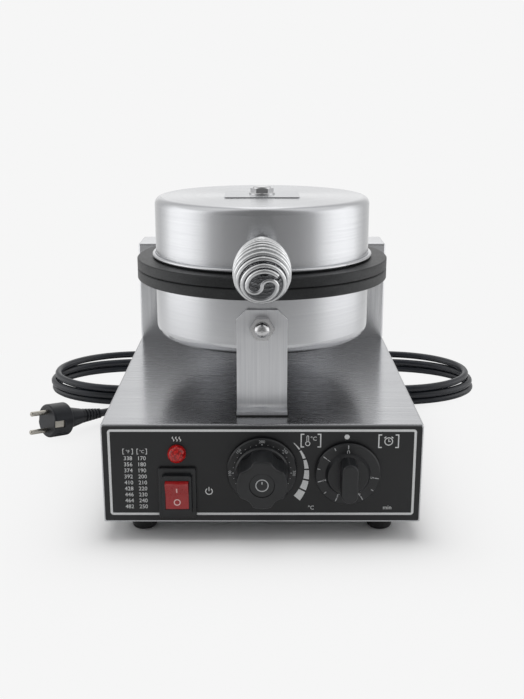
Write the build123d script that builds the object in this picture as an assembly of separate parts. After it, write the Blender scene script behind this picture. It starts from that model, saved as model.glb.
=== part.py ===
from build123d import *
import os
from math import cos, radians, sin, sqrt, tan

# Electric krumkake iron, in millimetres.
# Working frame: X right, Y back from the front face of the base box, Z up from the top of the base box.
# The finished pieces are moved so that the origin lies on the table, under the middle of the iron.

# --- Base box -----------------------------------------------------------------------------------
BASE_W = 250.0
BASE_D = 311.4
BASE_H = 81.5
SHEET = 1.2  # stainless sheet of the base box and the upright
BEND_R = 2.0  # outer radius of the folded edges
SHEET_CORNER = 2.0  # round corners of flat sheets
CUT = 5.0  # cutters run this far past what they cut
BASE_LIP = 12.0  # inward lip round the open underside
FLOOR_SHEET = 1.0
FLOOR_PLAY = 0.5
TERMINAL_SIZE = (42.0, 20.0, 16.0)
TERMINAL_BACK = 41.4  # its back face from the rear wall
TERMINAL_PITCH = 13.0
TERMINAL_SCREW = (3.2, 7.0)  # radius and depth of the screw wells
TERMINAL_WIRE = (2.2, 6.0)  # radius and height of the wire holes
VENT_COUNT = 9
VENT_PITCH = 12.0
VENT_SIZE = (5.0, 60.0)
VENT_Y = 200.0

# --- Feet ---------------------------------------------------------------------------------------
FOOT_R = 10.0
FOOT_H = 15.0  # below the base box
FOOT_INSET = (29.0, 25.0)  # foot centre from the sides, and from the front and back
FOOT_ROUND = 3.0
FOOT_BORE_R = 4.6
FOOT_BORE_DEPTH = 9.0

# --- Screws: shank radius, head radius, head height ---------------------------------------------
M3 = (1.5, 2.8, 1.6)
M4 = (2.0, 3.8, 2.2)
M5 = (2.5, 4.6, 3.0)
SCREW_ROUND = 0.45  # of a head's height
HOLE_PLAY = 0.2  # radial, round a screw that passes through
THREAD_PLAY = 0.03  # radial, where a screw is screwed in
SCREW_TIP = 4.0  # past the last sheet
M5_NUT = (8.0, 4.0)  # width across flats, height

# --- Control fascia -----------------------------------------------------------------------------
PANEL_T = 1.0
PANEL_EDGE = 1.4  # bare steel left round the fascia
PANEL_CORNER = 1.5

CONTROL_INSET = 59.0  # of the lamp and the switch, from the left side of the base
LAMP_XZ = (CONTROL_INSET - BASE_W / 2, -23.5)
LAMP_R = 7.2
LAMP_RISE = 7.0
LAMP_DOME = 5.6
LAMP_BARREL_R = 5.8
LAMP_BARREL_L = 24.0
LAMP_NUT_AF = 16.0
LAMP_NUT_T = 3.0

SWITCH_XZ = (CONTROL_INSET - BASE_W / 2, -55.6)
BEZEL_SIZE = (29.4, 42.0)
BEZEL_T = 3.0
BEZEL_CORNER = 2.0
BEZEL_EDGE = 1.0
COLLAR_SIZE = (23.6, 33.0)
COLLAR_T = 4.0
COLLAR_CORNER = 2.5
COLLAR_TAPER = 8.0
SWITCH_BODY = (22.0, 31.0, 25.0)  # width, height, depth behind the fascia
TAB = (6.4, 8.0, 0.8)  # width, length and thickness of a push-on terminal
TAB_STEP = 9.0
ROCKER_W = 18.0
ROCKER_R = 12.0  # the rocker turns inside this radius
ROCKER_PLAY = 0.3
ROCKER_HALF = 11.1  # half height of the rocker's face
ROCKER_TILT = 12.0  # each half of the face leans this much from the middle position
ROCKER_SINK = 2.6  # pivot behind the collar's front
TRUNNION_R = 1.5
TRUNNION_L = 1.2
RUNNING_PLAY = 0.05

TEMP_XZ = (0.0, -37.2)
DIAL_R = 27.3
DIAL_T = 2.0
DIAL_EDGE = 0.8
DIAL_GAP = 2.2  # behind the dials, for the heads of the fixing screws
KNOB_BACK_R = 21.4
KNOB_BACK_T = 4.5
KNOB_EDGE = 1.2
KNOB_R = 19.9
KNOB_FACE_Y = -32.0
KNOB_NOTCH_ANGLES = (51.0, 129.0, 231.0, 309.0)
KNOB_NOTCH_R = 11.0
KNOB_NOTCH_DEPTH = 2.4
KNOB_NOTCH_ROUND = 2.0
KNOB_TAPER = 2.0
CAP_R = 9.6
CAP_T = 2.0
CAP_SINK = 0.6
CAP_EDGE = 0.4
SPINDLE_R = 3.0
SPINDLE_IN_KNOB = 14.0
SPINDLE_IN_BODY = 9.0
SPINDLE_FLAT = 0.8
SPINDLE_HOLE_PLAY = 1.0  # radial, in the front wall

TIMER_INSET = 58.4  # from the right side of the base
TIMER_XZ = (BASE_W / 2 - TIMER_INSET, -39.4)
TIMER_DIAL_R = 25.4
TIMER_HUB_R = 15.6
TIMER_HUB_RISE = 4.0
TIMER_HUB_FLARE = 2.0
TIMER_HUB_TAPER = 26.0
TIMER_BAR = (13.2, 32.0)
TIMER_BAR_TAPER = 1.0
TIMER_BAR_EDGE = 1.4
TIMER_FACE_Y = -25.6

CONTROL_SCREW_X = 12.0  # each side of a spindle
THERMOSTAT_BODY = (40.0, 34.0, 24.0)
TIMER_BODY = (46.0, 40.0, 34.0)
CONTROL_CORNER = 3.0
CONTROL_SCREW_GRIP = 5.0
CONTROL_SCREW_END = 1.0  # free depth past the screw's tip

# --- Heating head -------------------------------------------------------------------------------
SPLIT_Z = 101.8
PLATE_GAP = 0.3  # between the closed plates
PLATE_R = 107.0
RIM_T = 8.6
RIM_EDGE = 0.8
CAKE_R = 96.0
CAKE_DEPTH = 0.8
PLATE_CORE_T = 10.0
SPIGOT_PLAY = 0.25  # radial, inside a housing
SPIGOT_T = 2.2
SPIGOT_WALL = 5.0
LAND_IN_R = 88.0
LAND_OUT_R = 91.5
PATTERN_RINGS = (28.0, 56.0, 84.0)
PATTERN_SPOKES = 16
GROOVE_W = 3.0
GROOVE_DEPTH = 1.0
BOSS_R = 9.0

ELEMENT_R = 60.0
ELEMENT_TUBE_R = 4.0
ELEMENT_SINK = 2.0  # of the tube's middle below the back of the plate
ELEMENT_PLAY = 0.2  # radial, in the plate's groove
ELEMENT_GAP = 44.0  # degrees left open between its ends
ELEMENT_BEND = 7.0
ELEMENT_LEG = 10.0
SHIELD_R = 86.0
SHIELD_T = 0.8
SHIELD_PLAY = 0.3
SHIELD_HOLE_PLAY = 2.0  # round the element's bent legs

HOUSING_T = 1.0
LOWER_R = 91.5
LOWER_BOTTOM_Z = 44.4
LOWER_ROUND = 9.0
UPPER_R = 91.0
UPPER_TOP_Z = 161.5
UPPER_ROUND = 6.0
BEAD_R = 1.7
BEAD_OVERLAP = 0.4  # of the bead into the lid's wall
BEAD_GAP = 0.6

# --- Studs, dome nuts and washers ----------------------------------------------------------------
STUD_R = 5.0
STUD_GRIP = 6.0  # screwed into a plate's boss
NUT_AF = 17.0
WASHER_R = 10.9
WASHER_T = 1.6
WASHER_EDGE = 0.3
LID_NUT_HEX = 3.6
LID_DOME_R = 7.9
LID_DOME_H = 1.6
FRONT_NUT_HEX = 8.0
FRONT_DOME_R = 6.3
FRONT_DOME_H = 6.0
DOME_ROUND = 0.92  # of the most that the dome allows
THREAD_END = 0.5
HEX_NUT_T = 7.0
STUD_END = 1.0  # past a plain nut
LID_PLATE = (63.0, 48.0)
LID_PLATE_T = 0.8

# --- Front bracket --------------------------------------------------------------------------------
BRACKET_W = 40.0
BRACKET_T = 2.5
BRACKET_TOP_Z = 83.0
BRACKET_FOOT = 13.4  # from its bend to its front edge
BRACKET_CHAMFER = 8.0
BRACKET_BEND = 3.0
GASKET_T = 1.2
GASKET_EDGE = 0.6
FRONT_BOLT_Z = 69.0
BOLT_HEAD_R = 8.0
BOLT_HEAD_T = 5.0
FOOT_STUD_X = 12.0
FOOT_STUD_L = 14.0

# --- Hinge ----------------------------------------------------------------------------------------
PIN_PAST_RIM = 15.0  # behind the plates
PIN_R = 4.0
LUG_R = 9.0
LUG_GAP = 0.4  # between the lugs and the top of the upright
LUG_WEB = 7.5  # how far the lugs' webs run into a plate's rim
LID_LUG_W = 26.0
LUG_SIDE_PLAY = 0.5
BASE_LUG_W = 9.5
PIN_END = 4.0
PIN_EDGE = 0.6
CLIP_R = 6.5
CLIP_T = 1.2

# --- Rear upright and the conduit that carries the lower housing -----------------------------------
UPRIGHT_D = 46.4
UPRIGHT_H = 97.5
HEAD_FORWARD = 7.5  # of the middle between the front of the base and the upright
UPRIGHT_LIP = 10.0
COVER_T = 1.0
COVER_PLAY = 0.6
LOUVRE_COUNT = 7
LOUVRE_PITCH = 16.0
LOUVRE_SIZE = (4.0, 40.0)
CONDUIT_R = 10.0
CONDUIT_WALL = 2.0
CONDUIT_Z = 69.0
CONDUIT_END = 9.0  # past each wall
LOCKNUT_AF = 27.0
LOCKNUT_T = 4.0
UPRIGHT_BOLT_INSET = 25.0
UPRIGHT_BOLT_STEP = 60.0
GROMMET_R = 9.0
GROMMET_FLANGE = 2.5
GROMMET_RISE = 1.5
GROMMET_PLAY = 0.1

# --- Handle: a wire wound as an egg, with an S across its front --------------------------------------
HANDLE_Z = 136.0  # where its axis meets the lid's wall
HANDLE_DROP = 21.0  # degrees below level, towards the front
WIRE_R = 1.8
HALF_TURNS = 25  # of the wire, from the neck to the S
EGG_NECK_R = 4.95  # this and the next two are radii of the wire's middle line
EGG_R = 19.9
S_R = 10.6
EGG_WIDE_AT = 44.0  # from the lid's wall, as the next one
S_REACH = 63.6
EGG_SHOULDER = 0.9  # under 1, the neck opens sooner
EGG_BLUNT = 2.4  # power of the front's curve; 2 is an ellipse
S_ARM_R = 13.8  # where the free end of the wire stops
S_ARM_ANGLE = 38.0  # degrees above the right side
HANDLE_STUD_R = 3.0
HANDLE_STUD_OUT = 17.0
HANDLE_STUD_IN = 12.0
HANDLE_NUT_AF = 10.0
NUT_CURVE_GAP = 0.6  # behind the wall, which curves inside
HANDLE_NUT_T = 2.4
HANDLE_NUT_PLAY = 0.06  # from the wall, and from the wire

# --- Cord -------------------------------------------------------------------------------------------
CORD_R = 4.0
CORD_ARC_SHARE = 0.45  # of the shorter run, used by each bend
GLAND_INSET = 55.0  # from the side of the base
GLAND_Z = -50.0
GLAND_NECK = 6.0  # inside the rear wall
GLAND_FLANGE = (9.0, 3.0)
GLAND_RELIEF = (7.0, 5.0, 30.0)  # first and last radius, and length
RELIEF_RIBS = 6
RELIEF_RIB = 0.6  # of the ribs' pitch
RELIEF_GROOVE = 1.1
COIL_TURNS = 3
COIL_MID = (0.5, 397.3)
COIL_STRAIGHT = 150.0  # half of the straight stretches
COIL_OUTER = (100.5, 76.8)  # half axes of its round ends
COIL_BAND = 16.5
COIL_STUBS = (34.0, 48.0)  # how far the stubs run into the coil, where the cord comes in and goes out
PLUG_R = 17.0
PLUG_HEAD_L = 22.0
PLUG_HEAD_ROUND = 2.0
PLUG_WAIST = (12.0, 8.0, 18.0)  # first and last radius, and length
PLUG_RELIEF = (5.2, 7.4, 24.0)
PLUG_GROOVE_DEPTH = 2.6
PIN_SPACING = 19.0
PLUG_PIN_R = 2.4
PLUG_PIN_L = 19.0
PLUG_PIN_SEAT = 8.0
PLUG_PIN_TIP = 1.4
EARTH_W = 7.0
EARTH_T = 1.0
EARTH_PLAY = 0.15
EARTH_SETBACK = 0.5  # of the strips' ends from the plug's face

# Planes and levels that several pieces share.
PANEL_Y = -PANEL_T
UPRIGHT_Y = BASE_D - UPRIGHT_D
HEAD_Y = UPRIGHT_Y / 2 - HEAD_FORWARD
GLAND_X = BASE_W / 2 - GLAND_INSET
FLOOR_Z = -BASE_H - FOOT_H
FLOOR_PLATE_Z = -BASE_H + SHEET
BOWL_FRONT_Y = HEAD_Y - LOWER_R
BRACKET_Y = BOWL_FRONT_Y - BRACKET_T
BRACKET_FOOT_Y = BRACKET_Y - BRACKET_FOOT
LID_FRONT_Y = HEAD_Y - UPPER_R
LOWER_FACE_Z = SPLIT_Z - PLATE_GAP / 2
UPPER_FACE_Z = SPLIT_Z + PLATE_GAP / 2
PIN_Y = HEAD_Y + PLATE_R + PIN_PAST_RIM
PIN_Z = UPRIGHT_H + LUG_GAP + LUG_R
DIAL_BACK_Y = PANEL_Y - DIAL_GAP
COVER_Y = BASE_D - COVER_T
INLET_Y = BASE_D + GLAND_FLANGE[1] + GLAND_RELIEF[2]
MIDDLE_Y = (KNOB_FACE_Y + INLET_Y) / 2  # halfway from the knob's face to the end of the cord gland

# The cord lies on the table; these points are chosen by hand.
CORD_Z = FLOOR_Z + CORD_R
COIL_TOP_Z = FLOOR_Z + COIL_TURNS * 2 * CORD_R
CORD_INLET = [
    (GLAND_X, INLET_Y, GLAND_Z),
    (GLAND_X, INLET_Y + 18.0, GLAND_Z),
    (61.0, 381.0, -53.5),
    (42.0, 392.0, -58.5),
    (18.0, 392.0, -63.5),
    (-5.0, 380.0, -67.5),
    (-28.0, 365.0, -71.0),
    (-53.0, 352.0, -74.0),
    (-78.0, 343.0, -76.4),
]
CORD_LEAD = [
    (-104.6, 316.2, CORD_Z),
    (-118.4, 315.6, CORD_Z),
    (-132.1, 312.7, CORD_Z + 0.6),
    (-144.0, 305.3, CORD_Z + 2.0),
    (-153.0, 294.6, CORD_Z + 3.9),
    (-159.6, 282.2, CORD_Z + 5.9),
    (-166.3, 272.3, CORD_Z + 7.4),
    (-172.8, 266.0, CORD_Z + 8.4),
]


def block(x, y, z):
    """Box between the given low and high values."""
    middle = Pos((x[0] + x[1]) / 2, (y[0] + y[1]) / 2, (z[0] + z[1]) / 2)
    return middle * Box(x[1] - x[0], y[1] - y[0], z[1] - z[0])


def bar(radius, start, end):
    """Round bar from one point to another."""
    way = Vector(*end) - Vector(*start)
    return extrude(Plane(origin=start, z_dir=way) * Circle(radius), way.length)


def turned(points, place):
    """Solid of revolution of a closed (radius, height) outline about the place's Z axis."""
    outline = make_face(Polyline(*[(r, 0, z) for r, z in points], close=True))
    return place * revolve(outline, Axis.Z)


def hexagon(across, place, height):
    """Hexagonal prism on the place's plane, given its width across flats."""
    return place * extrude(RegularPolygon(across / sqrt(3), 6), height)


def facing_front(x, z, y=0.0):
    """Plane at y whose normal points to the front, with its own X axis along +X."""
    return Plane(origin=(x, y, z), x_dir=(1, 0, 0), z_dir=(0, -1, 0))


def facing_down(x, y, z):
    """Plane at z whose normal points down, with its own X axis along +X."""
    return Plane(origin=(x, y, z), x_dir=(1, 0, 0), z_dir=(0, 0, -1))


def facing_back(x, z, y=0.0):
    """Plane at y whose normal points to the back, with its own X axis along -X."""
    return Plane(origin=(x, y, z), x_dir=(-1, 0, 0), z_dir=(0, 1, 0))


def screw(size, place, length):
    """Pan-head screw whose head stands on the place and whose shank goes back through it."""
    plane = place if isinstance(place, Plane) else Plane(place)
    shank_r, head_r, head_h = size
    head = extrude(plane * Circle(head_r), head_h)
    head = fillet(head.faces().sort_by(Axis(plane.origin, plane.z_dir))[-1].edges(), head_h * SCREW_ROUND)
    return head + extrude(plane * Circle(shank_r), -length)


def holes(radius, plane, spots, depth):
    """Round cutters through a wall, either way from the plane."""
    return [extrude(plane * Pos(u, v) * Circle(radius), depth, both=True) for u, v in spots]


def head_at(z):
    """The heating head's axis, at a height."""
    return Pos(0, HEAD_Y, z)


# --- Base -------------------------------------------------------------------------------------------


def foot_spots():
    """Centres of the four feet."""
    dx = BASE_W / 2 - FOOT_INSET[0]
    return [(x, y) for x in (-dx, dx) for y in (FOOT_INSET[1], BASE_D - FOOT_INSET[1])]


def lip_screw_spots():
    """Where screws from below hold the bottom plate on the lip."""
    dx = BASE_W / 2 - BASE_LIP / 2 - SHEET / 2
    return [(x, y) for x in (-dx, dx) for y in (BASE_D * 0.25, BASE_D * 0.75)]


def fascia_cutters():
    """Openings for the lamp, the switch and the two spindles, through the fascia and the front wall."""
    front = facing_front(0, 0)
    lamp = extrude(front * Pos(*LAMP_XZ) * Circle(LAMP_BARREL_R + HOLE_PLAY), CUT, both=True)
    slot = Rectangle(SWITCH_BODY[0] + 2 * HOLE_PLAY, SWITCH_BODY[1] + 2 * HOLE_PLAY)
    switch = extrude(front * Pos(*SWITCH_XZ) * slot, CUT, both=True)
    spindles = holes(SPINDLE_R + SPINDLE_HOLE_PLAY, front, [TEMP_XZ, TIMER_XZ], CUT)
    return [lamp, switch, *spindles, *holes(M3[0] + HOLE_PLAY, front, control_screw_spots(), CUT)]


def control_screw_spots():
    """The screws each side of the two spindles."""
    return [(x + side * CONTROL_SCREW_X, z) for x, z in (TEMP_XZ, TIMER_XZ) for side in (-1, 1)]


def upright_bolt_spots():
    """Bolts through the upright's front lip and the top of the base."""
    outer = BASE_W / 2 - UPRIGHT_BOLT_INSET
    inner = outer - UPRIGHT_BOLT_STEP
    return [(x, UPRIGHT_Y + SHEET + UPRIGHT_LIP / 2) for x in (-outer, -inner, inner, outer)]


def base_shell():
    """Folded steel box, open below, with an inward lip."""
    half = BASE_W / 2
    shell = block((-half, half), (0, BASE_D), (-BASE_H, 0))
    folds = shell.edges().group_by(Axis.Z)[-1] + shell.edges().filter_by(Axis.Z)
    shell = fillet(folds, BEND_R)
    shell -= block((SHEET - half, half - SHEET), (SHEET, BASE_D - SHEET), (SHEET - BASE_H, -SHEET))
    window = half - BASE_LIP
    shell -= block((-window, window), (BASE_LIP, BASE_D - BASE_LIP), (-BASE_H - CUT, CUT - BASE_H))
    shell -= fascia_cutters()
    top = Plane.XY
    shell -= holes(M5[0] + HOLE_PLAY, top, upright_bolt_spots(), CUT)
    shell -= holes(M5[0] + HOLE_PLAY, top, bracket_stud_spots(), CUT)
    shell -= holes(GROMMET_R, top, [grommet_spot()], CUT)
    shell -= holes(M4[0] + HOLE_PLAY, Plane.XY.offset(-BASE_H), lip_screw_spots(), CUT)
    neck = (GLAND_X, BASE_D - CUT, GLAND_Z), (GLAND_X, BASE_D + CUT, GLAND_Z)
    return shell - bar(GLAND_RELIEF[0] + HOLE_PLAY, *neck)


def base_bottom_plate():
    """Flat plate on the lip, with vent slots."""
    half = BASE_W / 2 - SHEET - FLOOR_PLAY
    inset = SHEET + FLOOR_PLAY
    level = Plane.XY.offset(FLOOR_PLATE_Z)
    plate = block((-half, half), (inset, BASE_D - inset), (FLOOR_PLATE_Z, FLOOR_PLATE_Z + FLOOR_SHEET))
    vent = Pos(0, VENT_Y) * Rot(0, 0, 90) * SlotOverall(VENT_SIZE[1], VENT_SIZE[0])
    spread = (VENT_COUNT - 1) / 2
    for i in range(VENT_COUNT):
        plate -= extrude(level * Pos((i - spread) * VENT_PITCH, 0) * vent, CUT, both=True)
    plate -= holes(M4[0] + THREAD_PLAY, level, lip_screw_spots(), CUT)
    return plate - holes(M4[0] + THREAD_PLAY, level, foot_spots(), CUT)


def foot(x, y):
    """Rubber foot with a deep bore for its screw."""
    body = bar(FOOT_R, (x, y, FLOOR_Z), (x, y, FLOOR_PLATE_Z))
    body = fillet(body.edges().group_by(Axis.Z)[0], FOOT_ROUND)
    body -= bar(FOOT_BORE_R, (x, y, FLOOR_Z), (x, y, FLOOR_Z + FOOT_BORE_DEPTH))
    return body - bar(M4[0] + HOLE_PLAY, (x, y, FLOOR_Z), (x, y, FLOOR_PLATE_Z))


def underside_screws():
    """Screws up into the bottom plate: through the lip, and through the feet."""
    screws = []
    seats = {-BASE_H: lip_screw_spots(), FLOOR_Z + FOOT_BORE_DEPTH: foot_spots()}
    for seat, spots in seats.items():
        length = FLOOR_PLATE_Z + FLOOR_SHEET + SCREW_TIP - seat
        screws += [screw(M4, facing_down(x, y, seat), length) for x, y in spots]
    return screws


def terminal_block():
    """Three-way terminal block on the bottom plate."""
    width, depth, height = TERMINAL_SIZE
    floor = FLOOR_PLATE_Z + FLOOR_SHEET
    back = BASE_D - TERMINAL_BACK
    front = back - depth
    body = block((GLAND_X - width / 2, GLAND_X + width / 2), (front, back), (floor, floor + height))
    ways = [(GLAND_X + step, back - depth / 2) for step in (-TERMINAL_PITCH, 0, TERMINAL_PITCH)]
    well_r, well_depth = TERMINAL_SCREW
    body -= holes(well_r, Plane.XY.offset(floor + height), ways, well_depth)
    wire_r, wire_h = TERMINAL_WIRE
    wire_z = floor + wire_h
    return body - [bar(wire_r, (x, front - CUT, wire_z), (x, back + CUT, wire_z)) for x, _ in ways]


# --- Controls ---------------------------------------------------------------------------------------


def control_panel():
    """Black fascia plate on the front of the base."""
    size = (BASE_W - 2 * PANEL_EDGE, BASE_H - 2 * PANEL_EDGE)
    middle = facing_front(0, -BASE_H / 2)
    return extrude(middle * RectangleRounded(*size, PANEL_CORNER), PANEL_T) - fascia_cutters()


def indicator_lens():
    """Red dome of the pilot lamp."""
    plane = facing_front(*LAMP_XZ, PANEL_Y)
    lens = extrude(plane * Circle(LAMP_R), LAMP_RISE)
    return fillet(lens.faces().sort_by(Axis.Y)[0].edges(), LAMP_DOME)


def indicator_body():
    """Threaded barrel of the pilot lamp, behind its lens."""
    x, z = LAMP_XZ
    return bar(LAMP_BARREL_R, (x, PANEL_Y, z), (x, LAMP_BARREL_L, z))


def indicator_nut():
    """Nut that pulls the lamp against the fascia."""
    nut = hexagon(LAMP_NUT_AF, facing_back(*LAMP_XZ, SHEET), LAMP_NUT_T)
    return nut - holes(LAMP_BARREL_R + THREAD_PLAY, facing_front(0, 0), [LAMP_XZ], LAMP_BARREL_L)


def rocker_pivot_y():
    return PANEL_Y - BEZEL_T - COLLAR_T + ROCKER_SINK


def tab(x, y, z):
    """Flat push-on terminal at the back of a control."""
    width, length, thickness = TAB
    return block((x - width / 2, x + width / 2), (y, y + length), (z - thickness / 2, z + thickness / 2))


def switch_housing():
    """Bezel, raised collar and body of the rocker switch, with the rocker's round pocket."""
    x, z = SWITCH_XZ
    flange = extrude(facing_front(x, z, PANEL_Y) * RectangleRounded(*BEZEL_SIZE, BEZEL_CORNER), BEZEL_T)
    flange = fillet(flange.faces().sort_by(Axis.Y)[0].edges(), BEZEL_EDGE)
    seat = facing_front(x, z, PANEL_Y - BEZEL_T)
    collar = extrude(seat * RectangleRounded(*COLLAR_SIZE, COLLAR_CORNER), COLLAR_T, taper=COLLAR_TAPER)
    body = extrude(facing_back(x, z, PANEL_Y) * Rectangle(*SWITCH_BODY[:2]), SWITCH_BODY[2])
    tabs = [tab(x, PANEL_Y + SWITCH_BODY[2], z + dz) for dz in (-TAB_STEP, 0, TAB_STEP)]
    reach = ROCKER_W / 2 + ROCKER_PLAY
    pivot = rocker_pivot_y()
    pocket = bar(ROCKER_R + ROCKER_PLAY, (x - reach, pivot, z), (x + reach, pivot, z))
    deep = reach + TRUNNION_L
    sockets = bar(TRUNNION_R + RUNNING_PLAY, (x - deep, pivot, z), (x + deep, pivot, z))
    return flange + collar + body + tabs - pocket - sockets


def switch_rocker():
    """Red rocker with a shallow V across its face, stored with its lower half pressed."""
    x, z = SWITCH_XZ
    pivot = rocker_pivot_y()
    corner = sqrt(ROCKER_R**2 - ROCKER_HALF**2)
    middle = corner - ROCKER_HALF * tan(radians(ROCKER_TILT))
    side = Plane(origin=(x - ROCKER_W / 2, pivot, z), x_dir=(0, -1, 0), z_dir=(1, 0, 0))
    face = ThreePointArc((corner, ROCKER_HALF), (-ROCKER_R, 0), (corner, -ROCKER_HALF))
    face += Polyline((corner, -ROCKER_HALF), (middle, 0), (corner, ROCKER_HALF))
    rocker = extrude(side * make_face(face), ROCKER_W)
    half = ROCKER_W / 2 + TRUNNION_L
    rocker += bar(TRUNNION_R, (x - half, pivot, z), (x + half, pivot, z))
    return rocker.rotate(Axis((x, pivot, z), (-1, 0, 0)), -ROCKER_TILT)


def spindle(x, z, back_end, front_end):
    """Round spindle with a flat on the part inside the knob."""
    shaft = bar(SPINDLE_R, (x, back_end, z), (x, front_end, z))
    cut = SPINDLE_R - SPINDLE_FLAT
    return shaft - block((x - CUT, x + CUT), (front_end, DIAL_BACK_Y), (z + cut, z + CUT))


def spindle_bore(x, z, tip_y):
    """The matching bore in a knob, from its back to the spindle's tip."""
    bore = bar(SPINDLE_R + THREAD_PLAY, (x, DIAL_BACK_Y, z), (x, tip_y, z))
    cut = SPINDLE_R - SPINDLE_FLAT + THREAD_PLAY
    return bore - block((x - CUT, x + CUT), (tip_y - CUT, DIAL_BACK_Y + CUT), (z + cut, z + CUT))


def temp_tip_y():
    return DIAL_BACK_Y - SPINDLE_IN_KNOB


def temperature_dial():
    """Numbered skirt behind the temperature knob."""
    x, z = TEMP_XZ
    dial = bar(DIAL_R, (x, DIAL_BACK_Y, z), (x, DIAL_BACK_Y - DIAL_T, z))
    dial = chamfer(dial.faces().sort_by(Axis.Y)[0].edges(), DIAL_EDGE)
    return dial - spindle_bore(x, z, DIAL_BACK_Y - DIAL_T - CUT)


def temperature_knob():
    """Tall knob with four finger notches on a round back flange, and a recess for its cap."""
    x, z = TEMP_XZ
    back = DIAL_BACK_Y - DIAL_T
    collar = bar(KNOB_BACK_R, (x, back, z), (x, back - KNOB_BACK_T, z))
    collar = chamfer(collar.faces().sort_by(Axis.Y)[0].edges(), KNOB_EDGE)
    away = KNOB_R - KNOB_NOTCH_DEPTH + KNOB_NOTCH_R
    outline = Circle(KNOB_R)
    for angle in KNOB_NOTCH_ANGLES:
        outline -= Pos(away * cos(radians(angle)), away * sin(radians(angle))) * Circle(KNOB_NOTCH_R)
    outline = fillet(outline.vertices(), KNOB_NOTCH_ROUND)
    rise = back - KNOB_BACK_T - KNOB_FACE_Y
    grip = extrude(facing_front(x, z, back - KNOB_BACK_T) * outline, rise, taper=KNOB_TAPER)
    grip = fillet(grip.faces().sort_by(Axis.Y)[0].edges(), KNOB_EDGE)
    knob = collar + grip - bar(CAP_R, (x, KNOB_FACE_Y, z), (x, KNOB_FACE_Y + CAP_SINK + CAP_T, z))
    return knob - spindle_bore(x, z, temp_tip_y())


def temperature_knob_cap():
    """Plain disc let into the face of the temperature knob."""
    x, z = TEMP_XZ
    face = KNOB_FACE_Y + CAP_SINK
    cap = bar(CAP_R, (x, face + CAP_T, z), (x, face, z))
    return chamfer(cap.faces().sort_by(Axis.Y)[0].edges(), CAP_EDGE)


def control_body(x, z, size):
    """Housing of a thermostat or timer against the front wall, bored for its spindle and screws."""
    width, height, depth = size
    body = extrude(facing_back(x, z, SHEET) * RectangleRounded(width, height, CONTROL_CORNER), depth)
    body += [tab(x + dx, SHEET + depth, z) for dx in (-TAB_STEP, TAB_STEP)]
    body -= bar(SPINDLE_R + RUNNING_PLAY, (x, 0, z), (x, SHEET + SPINDLE_IN_BODY, z))
    spots = [(x - CONTROL_SCREW_X, z), (x + CONTROL_SCREW_X, z)]
    grip = CONTROL_SCREW_GRIP + CONTROL_SCREW_END
    return body - holes(M3[0] + THREAD_PLAY, facing_front(0, 0, SHEET), spots, grip)


def control_screws():
    """Screws behind the dials that hold the thermostat and the timer."""
    plane = facing_front(0, 0, PANEL_Y)
    length = PANEL_T + SHEET + CONTROL_SCREW_GRIP
    return [screw(M3, plane * Pos(*spot), length) for spot in control_screw_spots()]


def timer_knob():
    """Flat numbered disc with a raised hub and a grip bar, in one moulding."""
    x, z = TIMER_XZ
    face = DIAL_BACK_Y - DIAL_T
    disc = bar(TIMER_DIAL_R, (x, DIAL_BACK_Y, z), (x, face, z))
    disc = chamfer(disc.faces().sort_by(Axis.Y)[0].edges(), DIAL_EDGE)
    hub = Circle(TIMER_HUB_R + TIMER_HUB_FLARE)
    hub = extrude(facing_front(x, z, face) * hub, TIMER_HUB_RISE, taper=TIMER_HUB_TAPER)
    bar_outline = Rot(0, 0, 90) * SlotOverall(TIMER_BAR[1], TIMER_BAR[0])
    bar_outline &= Rectangle(TIMER_BAR[0], TIMER_BAR[1])
    grip = extrude(facing_front(x, z, face) * bar_outline, face - TIMER_FACE_Y, taper=TIMER_BAR_TAPER)
    grip = fillet(grip.faces().sort_by(Axis.Y)[0].edges(), TIMER_BAR_EDGE)
    return disc + hub + grip - spindle_bore(x, z, temp_tip_y())


# --- Front bracket ------------------------------------------------------------------------------------


def bracket_stud_spots():
    """Welded studs under the bracket's foot."""
    y = (BRACKET_FOOT_Y + BRACKET_Y) / 2
    return [(-FOOT_STUD_X, y), (FOOT_STUD_X, y)]


def front_bracket():
    """Bent strap: foot on the base, face against the lower housing, studs welded under the foot."""
    low, high = GASKET_T, GASKET_T + BRACKET_T
    points = [
        (BRACKET_FOOT_Y, low),
        (BOWL_FRONT_Y, low),
        (BOWL_FRONT_Y, BRACKET_TOP_Z),
        (BRACKET_Y, BRACKET_TOP_Z),
        (BRACKET_Y, high),
        (BRACKET_FOOT_Y, high),
    ]
    side = Plane(origin=(-BRACKET_W / 2, 0, 0), x_dir=(0, 1, 0), z_dir=(1, 0, 0))
    strap = extrude(side * make_face(Polyline(*points, close=True)), BRACKET_W)
    for y, z, radius in ((BRACKET_Y, high, BRACKET_BEND), (BOWL_FRONT_Y, low, BRACKET_BEND + BRACKET_T)):
        bend = strap.edges().filter_by(Axis.X).sort_by_distance((0, y, z))[0]
        strap = fillet(bend, radius)
    strap = chamfer(strap.edges().filter_by(Axis.Y).group_by(Axis.Z)[-1], BRACKET_CHAMFER)
    strap -= holes(STUD_R + HOLE_PLAY, facing_front(0, 0, BRACKET_Y), [(0, FRONT_BOLT_Z)], CUT)
    stud_end = GASKET_T - FOOT_STUD_L
    return strap + [bar(M5[0], (x, y, GASKET_T), (x, y, stud_end)) for x, y in bracket_stud_spots()]


def bracket_gasket():
    """Black gasket under the bracket's foot."""
    half = BRACKET_W / 2 + GASKET_EDGE
    pad = block((-half, half), (BRACKET_FOOT_Y - GASKET_EDGE, BOWL_FRONT_Y), (0, GASKET_T))
    return pad - holes(M5[0] + HOLE_PLAY, Plane.XY, bracket_stud_spots(), CUT)


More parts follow.
